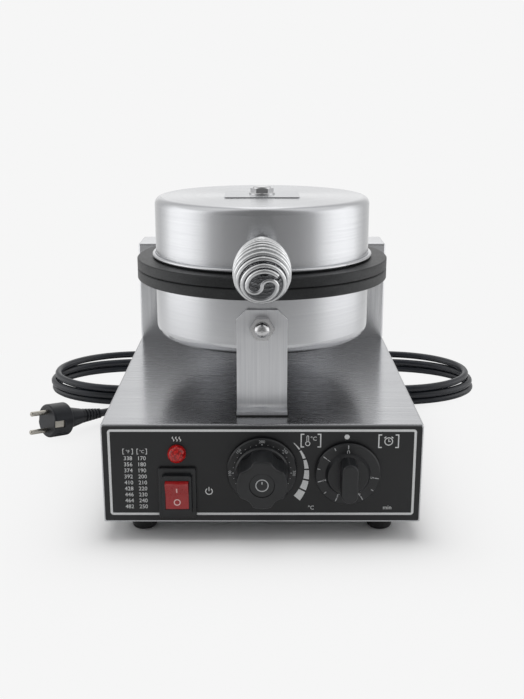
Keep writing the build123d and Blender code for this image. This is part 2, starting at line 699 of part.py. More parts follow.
def front_bolt():
    """Bolt from inside the lower housing through the bracket."""
    seat = HEAD_Y - sqrt((LOWER_R - HOUSING_T) ** 2 - BOLT_HEAD_R**2)
    head = bar(BOLT_HEAD_R, (0, seat, FRONT_BOLT_Z), (0, seat + BOLT_HEAD_T, FRONT_BOLT_Z))
    tip = BRACKET_Y - FRONT_NUT_HEX
    return head + bar(STUD_R, (0, tip, FRONT_BOLT_Z), (0, seat, FRONT_BOLT_Z))


def dome_nut(plane, hex_h, dome_r, dome_h):
    """Cap nut: hexagon under a dome."""
    nut = plane * extrude(RegularPolygon(NUT_AF / sqrt(3), 6), hex_h)
    dome = extrude(plane.offset(hex_h) * Circle(dome_r), dome_h)
    rim = dome.faces().sort_by(Axis(plane.origin, plane.z_dir))[-1].edges()
    dome = fillet(rim, min(dome_r, dome_h) * DOME_ROUND)
    return nut + dome - extrude(plane * Circle(STUD_R + THREAD_PLAY), hex_h + THREAD_END)


def front_dome_nut():
    """Dome nut on the face of the bracket."""
    face = facing_front(0, FRONT_BOLT_Z, BRACKET_Y)
    return dome_nut(face, FRONT_NUT_HEX, FRONT_DOME_R, FRONT_DOME_H)


# --- Heating head ---------------------------------------------------------------------------------------


def baking_plate(housing_r):
    """Round plate with its baking face up at height 0, to fit a housing, before its hinge lugs."""
    back = -PLATE_CORE_T
    spigot_r = housing_r - HOUSING_T - SPIGOT_PLAY
    spigot = -RIM_T - SPIGOT_T
    boss = back - ELEMENT_SINK - ELEMENT_TUBE_R - SHIELD_PLAY
    plate = turned(
        [
            (0, -CAKE_DEPTH),
            (CAKE_R - CAKE_DEPTH, -CAKE_DEPTH),
            (CAKE_R, 0),
            (PLATE_R - RIM_EDGE, 0),
            (PLATE_R, -RIM_EDGE),
            (PLATE_R, RIM_EDGE - RIM_T),
            (PLATE_R - RIM_EDGE, -RIM_T),
            (spigot_r, -RIM_T),
            (spigot_r, spigot),
            (spigot_r - SPIGOT_WALL, spigot),
            (spigot_r - SPIGOT_WALL, back),
            (BOSS_R, back),
            (BOSS_R, boss),
            (0, boss),
        ],
        Pos(0, 0, 0),
    )
    groove_z = -CAKE_DEPTH - GROOVE_DEPTH
    for ring in PATTERN_RINGS:
        low, high = ring - GROOVE_W / 2, ring + GROOVE_W / 2
        plate -= turned([(low, 0), (ring, groove_z), (high, 0)], Pos(0, 0, 0))
    first, last = PATTERN_RINGS[0], PATTERN_RINGS[-1]
    spoke = Polyline((0, -GROOVE_W / 2, 0), (0, 0, groove_z), (0, GROOVE_W / 2, 0), close=True)
    spoke = Pos(first, 0, 0) * extrude(make_face(spoke), last - first, dir=(1, 0, 0))
    plate -= [Rot(0, 0, 360 * i / PATTERN_SPOKES) * spoke for i in range(PATTERN_SPOKES)]
    plate -= Pos(0, 0, back - ELEMENT_SINK) * Torus(ELEMENT_R, ELEMENT_TUBE_R + ELEMENT_PLAY)
    return plate - bar(STUD_R + THREAD_PLAY, (0, 0, boss - CUT), (0, 0, boss + STUD_GRIP))


def element_end_spots():
    """Where the element's two legs go down, past the ends of its ring."""
    spots = []
    for angle, turn in ((90 - ELEMENT_GAP / 2, 1), (90 + ELEMENT_GAP / 2, -1)):
        ca, sa = cos(radians(angle)), sin(radians(angle))
        spots.append((ELEMENT_R * ca - turn * ELEMENT_BEND * sa, ELEMENT_R * sa + turn * ELEMENT_BEND * ca))
    return spots


def heating_element():
    """Tubular element: an open ring below a baking plate, with both ends bent down at the back."""
    z = -PLATE_CORE_T - ELEMENT_SINK
    first, last = 90 + ELEMENT_GAP / 2, 90 - ELEMENT_GAP / 2
    edges = [Pos(0, 0, z) * CenterArc((0, 0), ELEMENT_R, first, 360 - ELEMENT_GAP)]
    run = ELEMENT_BEND * sin(radians(45))
    dip = ELEMENT_BEND - run
    for angle, turn, (x, y) in zip((last, first), (1, -1), element_end_spots()):
        ca, sa = cos(radians(angle)), sin(radians(angle))
        ring_end = (ELEMENT_R * ca, ELEMENT_R * sa, z)
        middle = (ring_end[0] - turn * run * sa, ring_end[1] + turn * run * ca, z - dip)
        knee = (x, y, z - ELEMENT_BEND)
        edges.append(ThreePointArc(ring_end, middle, knee))
        edges.append(Line(knee, (x, y, z - ELEMENT_BEND - ELEMENT_LEG)))
    path = Wire(edges)
    return sweep(Plane(origin=path @ 0, z_dir=path % 0) * Circle(ELEMENT_TUBE_R), path)


def heat_shield():
    """Thin disc under the element, on the plate's boss."""
    top = -PLATE_CORE_T - ELEMENT_SINK - ELEMENT_TUBE_R - SHIELD_PLAY
    disc = bar(SHIELD_R, (0, 0, top - SHIELD_T), (0, 0, top))
    disc -= holes(STUD_R + HOLE_PLAY, Plane.XY.offset(top), [(0, 0)], CUT)
    return disc - holes(ELEMENT_TUBE_R + SHIELD_HOLE_PLAY, Plane.XY.offset(top), element_end_spots(), CUT)


def lower(piece):
    """Sets a piece made below a baking face at height 0 into the lower half of the head."""
    return head_at(LOWER_FACE_Z) * piece


def upper(piece):
    """Turns the same piece over into the lid, with its ends still to the back."""
    return head_at(UPPER_FACE_Z) * Rot(0, 180, 0) * piece


def lug(x_low, x_high, z_low, z_high, bore_r):
    """Hinge eye round the pin, with the web that joins it to a plate's rim."""
    web = block((x_low, x_high), (HEAD_Y + PLATE_R - LUG_WEB, PIN_Y), (z_low, z_high))
    eye = bar(LUG_R, (x_low, PIN_Y, PIN_Z), (x_high, PIN_Y, PIN_Z))
    return web + eye, bar(bore_r, (x_low - CUT, PIN_Y, PIN_Z), (x_high + CUT, PIN_Y, PIN_Z))


def lower_plate():
    """Lower baking plate with two hinge lugs."""
    plate = lower(baking_plate(LOWER_R))
    inner = LID_LUG_W / 2 + LUG_SIDE_PLAY
    for low, high in ((-inner - BASE_LUG_W, -inner), (inner, inner + BASE_LUG_W)):
        eye, bore = lug(low, high, LOWER_FACE_Z - RIM_T, LOWER_FACE_Z, PIN_R + THREAD_PLAY)
        plate = plate + eye - bore
    return plate


def upper_plate():
    """Upper baking plate with the middle hinge lug and a raised land under the lid's wall."""
    plate = upper(baking_plate(UPPER_R))
    top = UPPER_FACE_Z + RIM_T
    land = turned(
        [(LAND_IN_R, 0), (LAND_OUT_R, 0), (LAND_OUT_R, BEAD_GAP), (LAND_IN_R, BEAD_GAP)], head_at(top)
    )
    eye, bore = lug(-LID_LUG_W / 2, LID_LUG_W / 2, UPPER_FACE_Z, top, PIN_R + RUNNING_PLAY)
    return plate + land + eye - bore


def lower_housing():
    """Drawn bowl under the lower plate."""
    rim = LOWER_FACE_Z - RIM_T
    bowl = bar(LOWER_R, (0, HEAD_Y, LOWER_BOTTOM_Z), (0, HEAD_Y, rim))
    bowl = fillet(bowl.edges().group_by(Axis.Z)[0], LOWER_ROUND)
    inside = bar(LOWER_R - HOUSING_T, (0, HEAD_Y, LOWER_BOTTOM_Z + HOUSING_T), (0, HEAD_Y, rim))
    inside = fillet(inside.edges().group_by(Axis.Z)[0], LOWER_ROUND - HOUSING_T)
    bowl -= inside
    bowl -= bar(STUD_R + HOLE_PLAY, (0, HEAD_Y, LOWER_BOTTOM_Z - CUT), (0, HEAD_Y, LOWER_BOTTOM_Z + CUT))
    bowl -= bar(STUD_R + HOLE_PLAY, (0, BRACKET_Y, FRONT_BOLT_Z), (0, HEAD_Y, FRONT_BOLT_Z))
    return bowl - bar(CONDUIT_R + HOLE_PLAY, (0, HEAD_Y, CONDUIT_Z), (0, UPRIGHT_Y, CONDUIT_Z))


def upper_housing():
    """Drawn lid with a rolled bead round its mouth."""
    mouth = UPPER_FACE_Z + RIM_T + BEAD_GAP
    lid = bar(UPPER_R, (0, HEAD_Y, mouth), (0, HEAD_Y, UPPER_TOP_Z))
    lid = fillet(lid.edges().group_by(Axis.Z)[-1], UPPER_ROUND)
    bead = head_at(mouth + BEAD_R) * Torus(UPPER_R + BEAD_R - BEAD_OVERLAP, BEAD_R)
    inside = bar(UPPER_R - HOUSING_T, (0, HEAD_Y, mouth), (0, HEAD_Y, UPPER_TOP_Z - HOUSING_T))
    inside = fillet(inside.edges().group_by(Axis.Z)[-1], UPPER_ROUND - HOUSING_T)
    lid = lid + bead - inside
    lid -= bar(STUD_R + HOLE_PLAY, (0, HEAD_Y, UPPER_TOP_Z - CUT), (0, HEAD_Y, UPPER_TOP_Z + CUT))
    start, end = handle_point(-HANDLE_STUD_IN), handle_point(HANDLE_STUD_IN)
    return lid - bar(HANDLE_STUD_R + HOLE_PLAY, start, end)


def boss_face(sign):
    """Height of the end of a plate's boss: sign -1 for the lower plate, +1 for the upper one."""
    depth = PLATE_CORE_T + ELEMENT_SINK + ELEMENT_TUBE_R + SHIELD_PLAY
    return (UPPER_FACE_Z + depth) if sign > 0 else (LOWER_FACE_Z - depth)


def lid_stack_z():
    """Top of the thin plate and the washer on the lid."""
    return UPPER_TOP_Z + LID_PLATE_T + WASHER_T


def lid_plate():
    """Thin plain plate under the lid's washer."""
    level = Plane(origin=(0, HEAD_Y, UPPER_TOP_Z))
    plate = extrude(level * RectangleRounded(*LID_PLATE, SHEET_CORNER), LID_PLATE_T)
    return plate - holes(STUD_R + HOLE_PLAY, level, [(0, 0)], CUT)


def washer(z_low):
    """Flat washer on the head's axis."""
    ring = bar(WASHER_R, (0, HEAD_Y, z_low), (0, HEAD_Y, z_low + WASHER_T))
    ring = chamfer(ring.edges().group_by(Axis.Z)[-1], WASHER_EDGE)
    return ring - bar(STUD_R + HOLE_PLAY, (0, HEAD_Y, z_low - CUT), (0, HEAD_Y, z_low + CUT))


def lid_stud():
    """Stud from the upper plate's boss through the lid."""
    low = boss_face(1) - STUD_GRIP
    return bar(STUD_R, (0, HEAD_Y, low), (0, HEAD_Y, lid_stack_z() + LID_NUT_HEX))


def lid_dome_nut():
    """Dome nut on top of the lid."""
    top = Plane(origin=(0, HEAD_Y, lid_stack_z()))
    return dome_nut(top, LID_NUT_HEX, LID_DOME_R, LID_DOME_H)


def lower_stud():
    """Stud from the lower plate's boss through the bottom of the bowl."""
    high = boss_face(-1) + STUD_GRIP
    low = LOWER_BOTTOM_Z - WASHER_T - HEX_NUT_T - STUD_END
    return bar(STUD_R, (0, HEAD_Y, low), (0, HEAD_Y, high))


def lower_stud_nut():
    """Plain nut under the bowl."""
    seat = LOWER_BOTTOM_Z - WASHER_T
    nut = hexagon(NUT_AF, Plane(origin=(0, HEAD_Y, seat - HEX_NUT_T)), HEX_NUT_T)
    return nut - bar(STUD_R + THREAD_PLAY, (0, HEAD_Y, seat - HEX_NUT_T - CUT), (0, HEAD_Y, seat + CUT))


def hinge_reach():
    """Half of the pin's length between its clips."""
    return LID_LUG_W / 2 + LUG_SIDE_PLAY + BASE_LUG_W


def hinge_pin():
    """Pin through the lugs of both plates."""
    half = hinge_reach() + CLIP_T + PIN_END
    pin = bar(PIN_R, (-half, PIN_Y, PIN_Z), (half, PIN_Y, PIN_Z))
    return chamfer(pin.edges(), PIN_EDGE)


def hinge_pin_clips():
    """Retaining rings at both ends of the pin."""
    rings = []
    for start in (-hinge_reach() - CLIP_T, hinge_reach()):
        ends = (start, PIN_Y, PIN_Z), (start + CLIP_T, PIN_Y, PIN_Z)
        rings.append(bar(CLIP_R, *ends) - bar(PIN_R + THREAD_PLAY, *ends))
    return rings


# --- Handle -------------------------------------------------------------------------------------------


def handle_point(along, across=0.0):
    """Point on the handle's axis, or beside it along X, at a distance from the lid's wall."""
    drop = radians(HANDLE_DROP)
    return (across, LID_FRONT_Y - along * cos(drop), HANDLE_Z - along * sin(drop))


def egg_radius(along):
    """Radius of the wire's middle line: a sine up to the widest turn, and a blunt ellipse from there."""
    if along < EGG_WIDE_AT:
        share = (along - coil_start()) / (EGG_WIDE_AT - coil_start())
        return EGG_NECK_R + (EGG_R - EGG_NECK_R) * sin(radians(90) * share**EGG_SHOULDER)
    nose = (S_REACH - EGG_WIDE_AT) / blunt(S_R / EGG_R)
    return EGG_R * blunt((along - EGG_WIDE_AT) / nose)


def blunt(share):
    """The other coordinate of a point on the unit curve of the egg's front."""
    return (1 - share**EGG_BLUNT) ** (1 / EGG_BLUNT)


def handle_nut_starts():
    """Where the two nuts on the handle's stud start, clear of the round wall between them."""
    slope = HANDLE_NUT_AF / sqrt(3) * tan(radians(HANDLE_DROP)) + HANDLE_NUT_PLAY
    return slope, -slope - HOUSING_T - NUT_CURVE_GAP - HANDLE_NUT_T


def coil_start():
    """Where the wire's middle line starts, against the outer nut."""
    return handle_nut_starts()[0] + HANDLE_NUT_T + HANDLE_NUT_PLAY + WIRE_R


def handle_coil():
    """One wire: half circles that step forward, an S of two small ones, and a free arm over it."""
    step = (S_REACH - coil_start()) / HALF_TURNS
    rise = Vector(0, -sin(radians(HANDLE_DROP)), cos(radians(HANDLE_DROP)))
    stops = []
    for i in range(HALF_TURNS + 1):
        along = coil_start() + i * step
        side = 1 if (HALF_TURNS - i) % 2 == 0 else -1
        stops.append(Vector(*handle_point(along, side * egg_radius(along))))
    stops += [Vector(*handle_point(S_REACH)), Vector(*handle_point(S_REACH, -S_R))]
    arcs = []
    for i, (start, finish) in enumerate(zip(stops, stops[1:])):
        over = 1 if (HALF_TURNS - i) % 2 == 0 else -1
        bulge = rise * (over * (finish - start).length / 2)
        arcs.append(ThreePointArc(start, (start + finish) / 2 + bulge, finish))
    across, up = S_ARM_R * cos(radians(S_ARM_ANGLE)), S_ARM_R * sin(radians(S_ARM_ANGLE))
    tip = Vector(*handle_point(S_REACH, across)) + rise * up
    path = Wire(arcs + [TangentArc(stops[-1], tip, tangent=rise)])
    return sweep(Plane(origin=path @ 0, z_dir=path % 0) * Circle(WIRE_R), path)


def handle_stud():
    """Stud through the lid's wall that the neck of the coil is wound on."""
    return bar(HANDLE_STUD_R, handle_point(-HANDLE_STUD_IN), handle_point(HANDLE_STUD_OUT))


def handle_nuts():
    """Nuts each side of the lid's wall."""
    drop = radians(HANDLE_DROP)
    forward = (0, -cos(drop), -sin(drop))
    nuts = []
    for start in handle_nut_starts():
        plane = Plane(origin=handle_point(start), x_dir=(1, 0, 0), z_dir=forward)
        nut = extrude(plane * RegularPolygon(HANDLE_NUT_AF / sqrt(3), 6), HANDLE_NUT_T)
        nuts.append(nut - extrude(plane * Circle(HANDLE_STUD_R + THREAD_PLAY), HANDLE_NUT_T))
    return nuts


# --- Rear upright ---------------------------------------------------------------------------------------


def grommet_spot():
    """Where the wires pass from the base into the upright."""
    return (GLAND_X, (UPRIGHT_Y + BASE_D) / 2)


def rear_upright():
    """Folded box on the back of the base, open behind and below, with lips."""
    half = BASE_W / 2
    box = block((-half, half), (UPRIGHT_Y, COVER_Y), (0, UPRIGHT_H))
    front = box.edges().group_by(Axis.Y)[0].filter_by(lambda e: e.center().Z > SHEET)
    sides = box.edges().filter_by(Axis.Y).group_by(Axis.Z)[-1]
    box = fillet(front + sides, BEND_R)
    inside = half - SHEET
    box -= block((-inside, inside), (UPRIGHT_Y + SHEET, COVER_Y - SHEET), (SHEET, UPRIGHT_H - SHEET))
    lip = half - UPRIGHT_LIP
    box -= block((-lip, lip), (COVER_Y - CUT, COVER_Y + CUT), (UPRIGHT_LIP, UPRIGHT_H - UPRIGHT_LIP))
    under = UPRIGHT_Y + SHEET + UPRIGHT_LIP
    box -= block((-lip, lip), (under, COVER_Y - UPRIGHT_LIP), (-CUT, CUT))
    box -= holes(M5[0] + HOLE_PLAY, Plane.XY, upright_bolt_spots(), CUT)
    box -= holes(M4[0] + THREAD_PLAY, facing_back(0, 0, COVER_Y), cover_screw_spots(), CUT)
    return box - holes(CONDUIT_R + HOLE_PLAY, facing_front(0, 0, UPRIGHT_Y), [(0, CONDUIT_Z)], CUT)


def cover_screw_spots():
    """Screws round the rear cover."""
    dx = BASE_W / 2 - UPRIGHT_LIP / 2 - SHEET / 2
    inset = UPRIGHT_LIP / 2 + SHEET / 2
    return [(x, z) for x in (-dx, 0, dx) for z in (inset, UPRIGHT_H - inset)]


def rear_cover():
    """Flat cover over the open back of the upright, with upright louvres."""
    size = (BASE_W - 2 * COVER_PLAY, UPRIGHT_H - 2 * COVER_PLAY)
    back = facing_back(0, 0, COVER_Y)
    middle = back * Pos(0, UPRIGHT_H / 2)
    cover = extrude(middle * RectangleRounded(*size, SHEET_CORNER), COVER_T)
    spread = (LOUVRE_COUNT - 1) / 2
    slot = Rot(0, 0, 90) * SlotOverall(LOUVRE_SIZE[1], LOUVRE_SIZE[0])
    for i in range(LOUVRE_COUNT):
        cover -= extrude(middle * Pos((i - spread) * LOUVRE_PITCH, 0) * slot, CUT, both=True)
    return cover - holes(M4[0] + HOLE_PLAY, back, cover_screw_spots(), CUT)


def rear_cover_screws():
    """Screws of the rear cover."""
    back = facing_back(0, 0, BASE_D)
    return [screw(M4, back * Pos(*spot), COVER_T + SHEET + SCREW_TIP) for spot in cover_screw_spots()]


def upright_bolts():
    """Bolts that hold the upright on the base."""
    top = Plane.XY.offset(SHEET)
    length = 2 * SHEET + M5_NUT[1] + SCREW_TIP
    return [screw(M5, top * Pos(*spot), length) for spot in upright_bolt_spots()]


def base_nuts():
    """Nuts inside the base, on the upright's bolts and the bracket's studs."""
    across, tall = M5_NUT
    nuts = []
    for x, y in upright_bolt_spots() + bracket_stud_spots():
        nut = hexagon(across, facing_down(x, y, -SHEET), tall)
        nuts.append(nut - bar(M5[0] + THREAD_PLAY, (x, y, 0), (x, y, -SHEET - tall)))
    return nuts


def cable_grommet():
    """Rubber ring where the wires pass up into the upright."""
    x, y = grommet_spot()
    outer = GROMMET_R + GROMMET_FLANGE
    sheet = (x, y, -SHEET), (x, y, 0)
    ring = bar(outer, (x, y, -SHEET - GROMMET_RISE), (x, y, GROMMET_RISE))
    ring -= bar(outer, *sheet) - bar(GROMMET_R - GROMMET_PLAY, *sheet)
    return ring - holes(GROMMET_R - GROMMET_FLANGE, Plane.XY, [(x, y)], CUT)


def support_conduit():
    """Threaded tube that carries the lower housing and leads its wires to the upright."""
    start, end = HEAD_Y + LOWER_R - CONDUIT_END, UPRIGHT_Y + CONDUIT_END
    ends = (0, start, CONDUIT_Z), (0, end, CONDUIT_Z)
    return bar(CONDUIT_R, *ends) - bar(CONDUIT_R - CONDUIT_WALL, *ends)


def conduit_locknuts():
    """Two nuts on each wall that the conduit passes through."""
    corner = LOCKNUT_AF / sqrt(3)
    bowl_out = HEAD_Y + LOWER_R
    bowl_in = HEAD_Y + sqrt((LOWER_R - HOUSING_T) ** 2 - corner**2) - LOCKNUT_T
    nuts = []
    for start in (bowl_in, bowl_out, UPRIGHT_Y - LOCKNUT_T, UPRIGHT_Y + SHEET):
        plane = facing_back(0, CONDUIT_Z, start)
        nut = extrude(plane * RegularPolygon(corner, 6), LOCKNUT_T)
        nuts.append(nut - extrude(plane * Circle(CONDUIT_R + THREAD_PLAY), LOCKNUT_T))
    return nuts


# --- Cord -------------------------------------------------------------------------------------------


def relief(first_r, last_r, length, plane):
    """Tapered bending relief with ribs, standing on the plane."""
    pitch = length / RELIEF_RIBS
    points = [(0, 0)]
    for i in range(RELIEF_RIBS):
        radius = first_r + (last_r - first_r) * i / (RELIEF_RIBS - 1)
        points += [(radius, i * pitch), (radius, (i + RELIEF_RIB) * pitch)]
        if i < RELIEF_RIBS - 1:
            root = radius - RELIEF_GROOVE
            points += [(root, (i + RELIEF_RIB) * pitch), (root, (i + 1) * pitch)]
    points += [(last_r, length), (0, length)]
    return turned(points, plane)


def cord_gland():
    """Gland in the back wall of the base, with its ribbed relief."""
    out = facing_back(GLAND_X, GLAND_Z, BASE_D)
    flange = extrude(out * Circle(GLAND_FLANGE[0]), GLAND_FLANGE[1])
    neck = extrude(out * Circle(GLAND_RELIEF[0]), -SHEET - GLAND_NECK)
    return flange + neck + relief(*GLAND_RELIEF, out.offset(GLAND_FLANGE[1]))


def cord_radii(points):
    """Bend radius at each inner point, as large as its two runs allow."""
    radii = []
    for before, here, after in zip(points, points[1:], points[2:]):
        first, second = Vector(*here) - Vector(*before), Vector(*after) - Vector(*here)
        shorter = min(first.length, second.length)
        radii.append(CORD_ARC_SHARE * shorter / tan(radians(first.get_angle(second) / 2)))
    return radii


def cord_tube(points):
    """Cord along straight runs joined by arcs."""
    radii = cord_radii(points)
    print("cord bends, mm:", [round(r, 1) for r in radii])
    path = FilletPolyline(*points, radius=radii)
    return sweep(Plane(origin=path @ 0, z_dir=path % 0) * Circle(CORD_R), path)


def long_oval(half_axes):
    """Outline of the coil: two straight stretches joined by half ellipses."""
    a, b = half_axes
    s = COIL_STRAIGHT
    right = EllipticalCenterArc((s, 0), a, b, start_angle=-90, arc_size=180)
    left = EllipticalCenterArc((-s, 0), a, b, start_angle=90, arc_size=180)
    return make_face([Line((-s, -b), (s, -b)), right, Line((s, b), (-s, b)), left])


def cord_coil():
    """Outer shape of the coiled cord on the table, with the stubs where the cord enters and leaves it."""
    ring = long_oval(COIL_OUTER) - long_oval([half - COIL_BAND for half in COIL_OUTER])
    table = Plane(origin=(*COIL_MID, FLOOR_Z))
    coil = extrude(table * ring, COIL_TOP_Z - FLOOR_Z)
    ends = ((CORD_INLET[-2], CORD_INLET[-1]), (CORD_LEAD[1], CORD_LEAD[0]))
    for (near, end), length in zip(ends, COIL_STUBS):
        way = (Vector(*end) - Vector(*near)).normalized()
        coil += extrude(Plane(origin=end, z_dir=way) * Circle(CORD_R), length)
    return coil


def plug_frame():
    """Plane at the plug's relief end, whose normal points along the plug to its pins."""
    last, end = Vector(*CORD_LEAD[-2]), Vector(*CORD_LEAD[-1])
    way = (end - last).normalized()
    level = Vector(way.Y, -way.X, 0).normalized()
    return Plane(origin=end, x_dir=level, z_dir=way)


def plug_head_plane():
    """Plane at the back of the plug's head."""
    return plug_frame().offset(PLUG_RELIEF[2] + PLUG_WAIST[2])


def plug_face_plane():
    """Plane at the plug's face, where the pins come out."""
    return plug_head_plane().offset(PLUG_HEAD_L)


def plug_body():
    """Moulded earthed plug: round head with two side grooves, tapered waist and ribbed relief."""
    frame = plug_frame()
    waist_plane = frame.offset(PLUG_RELIEF[2])
    head_plane = plug_head_plane()
    tail = relief(*PLUG_RELIEF, frame)
    waist = loft([waist_plane * Circle(PLUG_WAIST[1]), head_plane * Circle(PLUG_WAIST[0])])
    head = extrude(head_plane * Circle(PLUG_R), PLUG_HEAD_L)
    head = fillet(head.edges().filter_by(GeomType.CIRCLE), PLUG_HEAD_ROUND)
    body = tail + waist + head
    body -= [extrude(groove, PLUG_HEAD_L) for groove in earth_section(EARTH_PLAY)]
    face = plug_face_plane()
    return body - [extrude(face * Pos(*spot) * Circle(PLUG_PIN_R), -PLUG_PIN_SEAT) for spot in pin_spots()]


def pin_spots():
    """The pins, one above the other, on the plug's face."""
    return [(0, -PIN_SPACING / 2), (0, PIN_SPACING / 2)]


def earth_start():
    """Plane halfway along the head, where the earth strips start."""
    return plug_head_plane().offset(PLUG_HEAD_L / 2)


def earth_section(play):
    """Sections of the two earth strips in the side grooves of the head, with play round them."""
    start = earth_start()
    inner = PLUG_R - PLUG_GROOVE_DEPTH
    outer = PLUG_R + CUT if play else inner + EARTH_T
    size = (outer - inner, EARTH_W + 2 * play)
    return [start * Pos(side * (inner + outer) / 2, 0) * Rectangle(*size) for side in (-1, 1)]


def plug_pins():
    """Two round pins with rounded tips."""
    face = plug_face_plane()
    pins = []
    for spot in pin_spots():
        seat = face.offset(-PLUG_PIN_SEAT) * Pos(*spot)
        pin = extrude(seat * Circle(PLUG_PIN_R), PLUG_PIN_SEAT + PLUG_PIN_L)
        tip = pin.edges().filter_by(GeomType.CIRCLE).sort_by(Axis(face.origin, face.z_dir))[-1]
        pins.append(fillet(tip, PLUG_PIN_TIP))
    return pins


def plug_earth_contacts():
    """Strips at the bottom of the side grooves."""
    length = PLUG_HEAD_L / 2 - EARTH_SETBACK
    return [extrude(strip, length) for strip in earth_section(0)]


def main():
    """Builds every piece and writes one STEP file for each node."""
    nodes = {
        "base_shell": base_shell(),
        "base_bottom_plate": base_bottom_plate(),
        "underside_screws": underside_screws(),
        "feet": [foot(*spot) for spot in foot_spots()],
        "terminal_block": terminal_block(),
        "control_panel": control_panel(),
        "control_screws": control_screws(),
        "indicator_lens": indicator_lens(),
        "indicator_body": indicator_body(),
        "indicator_nut": indicator_nut(),
        "switch_housing": switch_housing(),
        "switch_rocker": switch_rocker(),
        "temperature_dial": temperature_dial(),
        "temperature_knob": temperature_knob(),
        "temperature_knob_cap": temperature_knob_cap(),
        "thermostat_spindle": spindle(*TEMP_XZ, SHEET + SPINDLE_IN_BODY, temp_tip_y()),
        "thermostat_body": control_body(*TEMP_XZ, THERMOSTAT_BODY),
        "timer_knob": timer_knob(),
        "timer_spindle": spindle(*TIMER_XZ, SHEET + SPINDLE_IN_BODY, temp_tip_y()),
        "timer_body": control_body(*TIMER_XZ, TIMER_BODY),
        "front_bracket": front_bracket(),
        "bracket_gasket": bracket_gasket(),
        "front_bolt": front_bolt(),
        "front_dome_nut": front_dome_nut(),
        "lower_housing": lower_housing(),
        "lower_plate": lower_plate(),
        "lower_heating_element": lower(heating_element()),
        "lower_heat_shield": lower(heat_shield()),
        "lower_stud": lower_stud(),
        "lower_stud_washer": washer(LOWER_BOTTOM_Z - WASHER_T),
        "lower_stud_nut": lower_stud_nut(),
        "upper_housing": upper_housing(),
        "upper_plate": upper_plate(),
        "upper_heating_element": upper(heating_element()),
        "upper_heat_shield": upper(heat_shield()),
        "lid_stud": lid_stud(),
        "lid_plate": lid_plate(),
        "lid_washer": washer(UPPER_TOP_Z + LID_PLATE_T),
        "lid_dome_nut": lid_dome_nut(),
        "handle_coil": handle_coil(),
        "handle_stud": handle_stud(),
        "handle_nuts": handle_nuts(),
        "hinge_pin": hinge_pin(),
        "hinge_pin_clips": hinge_pin_clips(),
        "rear_upright": rear_upright(),
        "rear_cover": rear_cover(),
        "rear_cover_screws": rear_cover_screws(),
        "upright_bolts": upright_bolts(),
        "base_nuts": base_nuts(),
        "cable_grommet": cable_grommet(),
        "support_conduit": support_conduit(),
        "conduit_locknuts": conduit_locknuts(),
        "cord_gland": cord_gland(),
        "cord_inlet": cord_tube(CORD_INLET),
        "cord_coil": cord_coil(),
        "cord_lead": cord_tube(CORD_LEAD),
        "plug_body": plug_body(),
        "plug_pins": plug_pins(),
        "plug_earth_contacts": plug_earth_contacts(),
    }
    os.makedirs("parts", exist_ok=True)
    to_table = Pos(0, -MIDDLE_Y, -FLOOR_Z)
    for name, piece in nodes.items():
        bodies = piece if isinstance(piece, list) else [piece]
        solids = [solid for body in bodies for solid in body.solids()]
        export_step(to_table * Compound(children=solids), f"parts/{name}.step")
    print(len(nodes), "nodes, origin", round(MIDDLE_Y, 2), "mm behind the front face of the base")


main()
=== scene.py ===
import logging
from dataclasses import dataclass, field
from enum import Enum
from math import cos, pi, radians, sin, tau

import bpy
import numpy as np
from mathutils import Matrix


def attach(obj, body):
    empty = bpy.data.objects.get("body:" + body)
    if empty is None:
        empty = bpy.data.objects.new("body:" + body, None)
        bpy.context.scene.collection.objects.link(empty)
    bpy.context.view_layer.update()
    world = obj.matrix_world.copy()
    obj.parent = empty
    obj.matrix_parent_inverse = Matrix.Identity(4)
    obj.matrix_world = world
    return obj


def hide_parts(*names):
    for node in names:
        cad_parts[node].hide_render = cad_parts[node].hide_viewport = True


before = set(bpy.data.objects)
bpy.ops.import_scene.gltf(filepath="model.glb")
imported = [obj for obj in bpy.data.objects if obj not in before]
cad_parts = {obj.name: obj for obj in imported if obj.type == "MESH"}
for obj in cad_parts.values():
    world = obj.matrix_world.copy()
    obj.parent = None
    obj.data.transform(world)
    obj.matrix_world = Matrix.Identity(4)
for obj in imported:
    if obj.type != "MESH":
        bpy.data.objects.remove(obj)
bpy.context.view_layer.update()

log = logging.getLogger("krumkake_iron")

# Working frame of the sizes below, in millimetres: X right, Y back from the front face of the base,
# Z up from the top of the base. The row frame has its origin on the table, under the middle.
MIDDLE_Y = 156.2
TABLE_Z = -96.5
HEAD_Y = 125.0  # axis of the round heating head
PANEL_Y = -1.0  # face of the fascia
BASE_HALF_W = 125.0
SWITCH_X = -66.0  # middle of the switch, and of the lamp above it
TEMPERATURE_XZ = (0.0, -37.2)  # axis of the temperature knob
TIMER_XZ = (66.6, -39.4)  # axis of the timer knob
HANDLE_FOOT = (0.0, 17.0, 136.0)  # where the handle's axis meets the lid
HANDLE_WAY = (0.0, -0.93358, -0.35837)  # its axis, 21 degrees below level
INK_T = 0.1  # a printed mark stands this far off its face
INK_SINK = 0.02  # and goes this far into it

Triple = tuple[float, float, float]
Pair = tuple[float, float]


class Grain(Enum):
    """Way in which the brushing of a metal runs: 1 for each axis that its lines follow."""

    ACROSS = (1.0, 0.0, 0.0)
    UPRIGHT = (0.0, 0.0, 1.0)
    AROUND = (1.0, 1.0, 0.0)


class Slot(Enum):
    """Names of three of the record's material slots; nothing in this script uses them."""

    PLATE = "plate_metal"
    PLASTIC = "black_plastic"
    WHITE = "white_plastic"


def to_row(points: np.ndarray) -> np.ndarray:
    """Moves points from the working frame to the row frame.

    Args:
        points: Array of (x, y, z) in millimetres.

    Returns:
        The same points in metres, from the origin on the table.
    """
    return (np.asarray(points, float) - (0.0, MIDDLE_Y, TABLE_Z)) / 1000.0


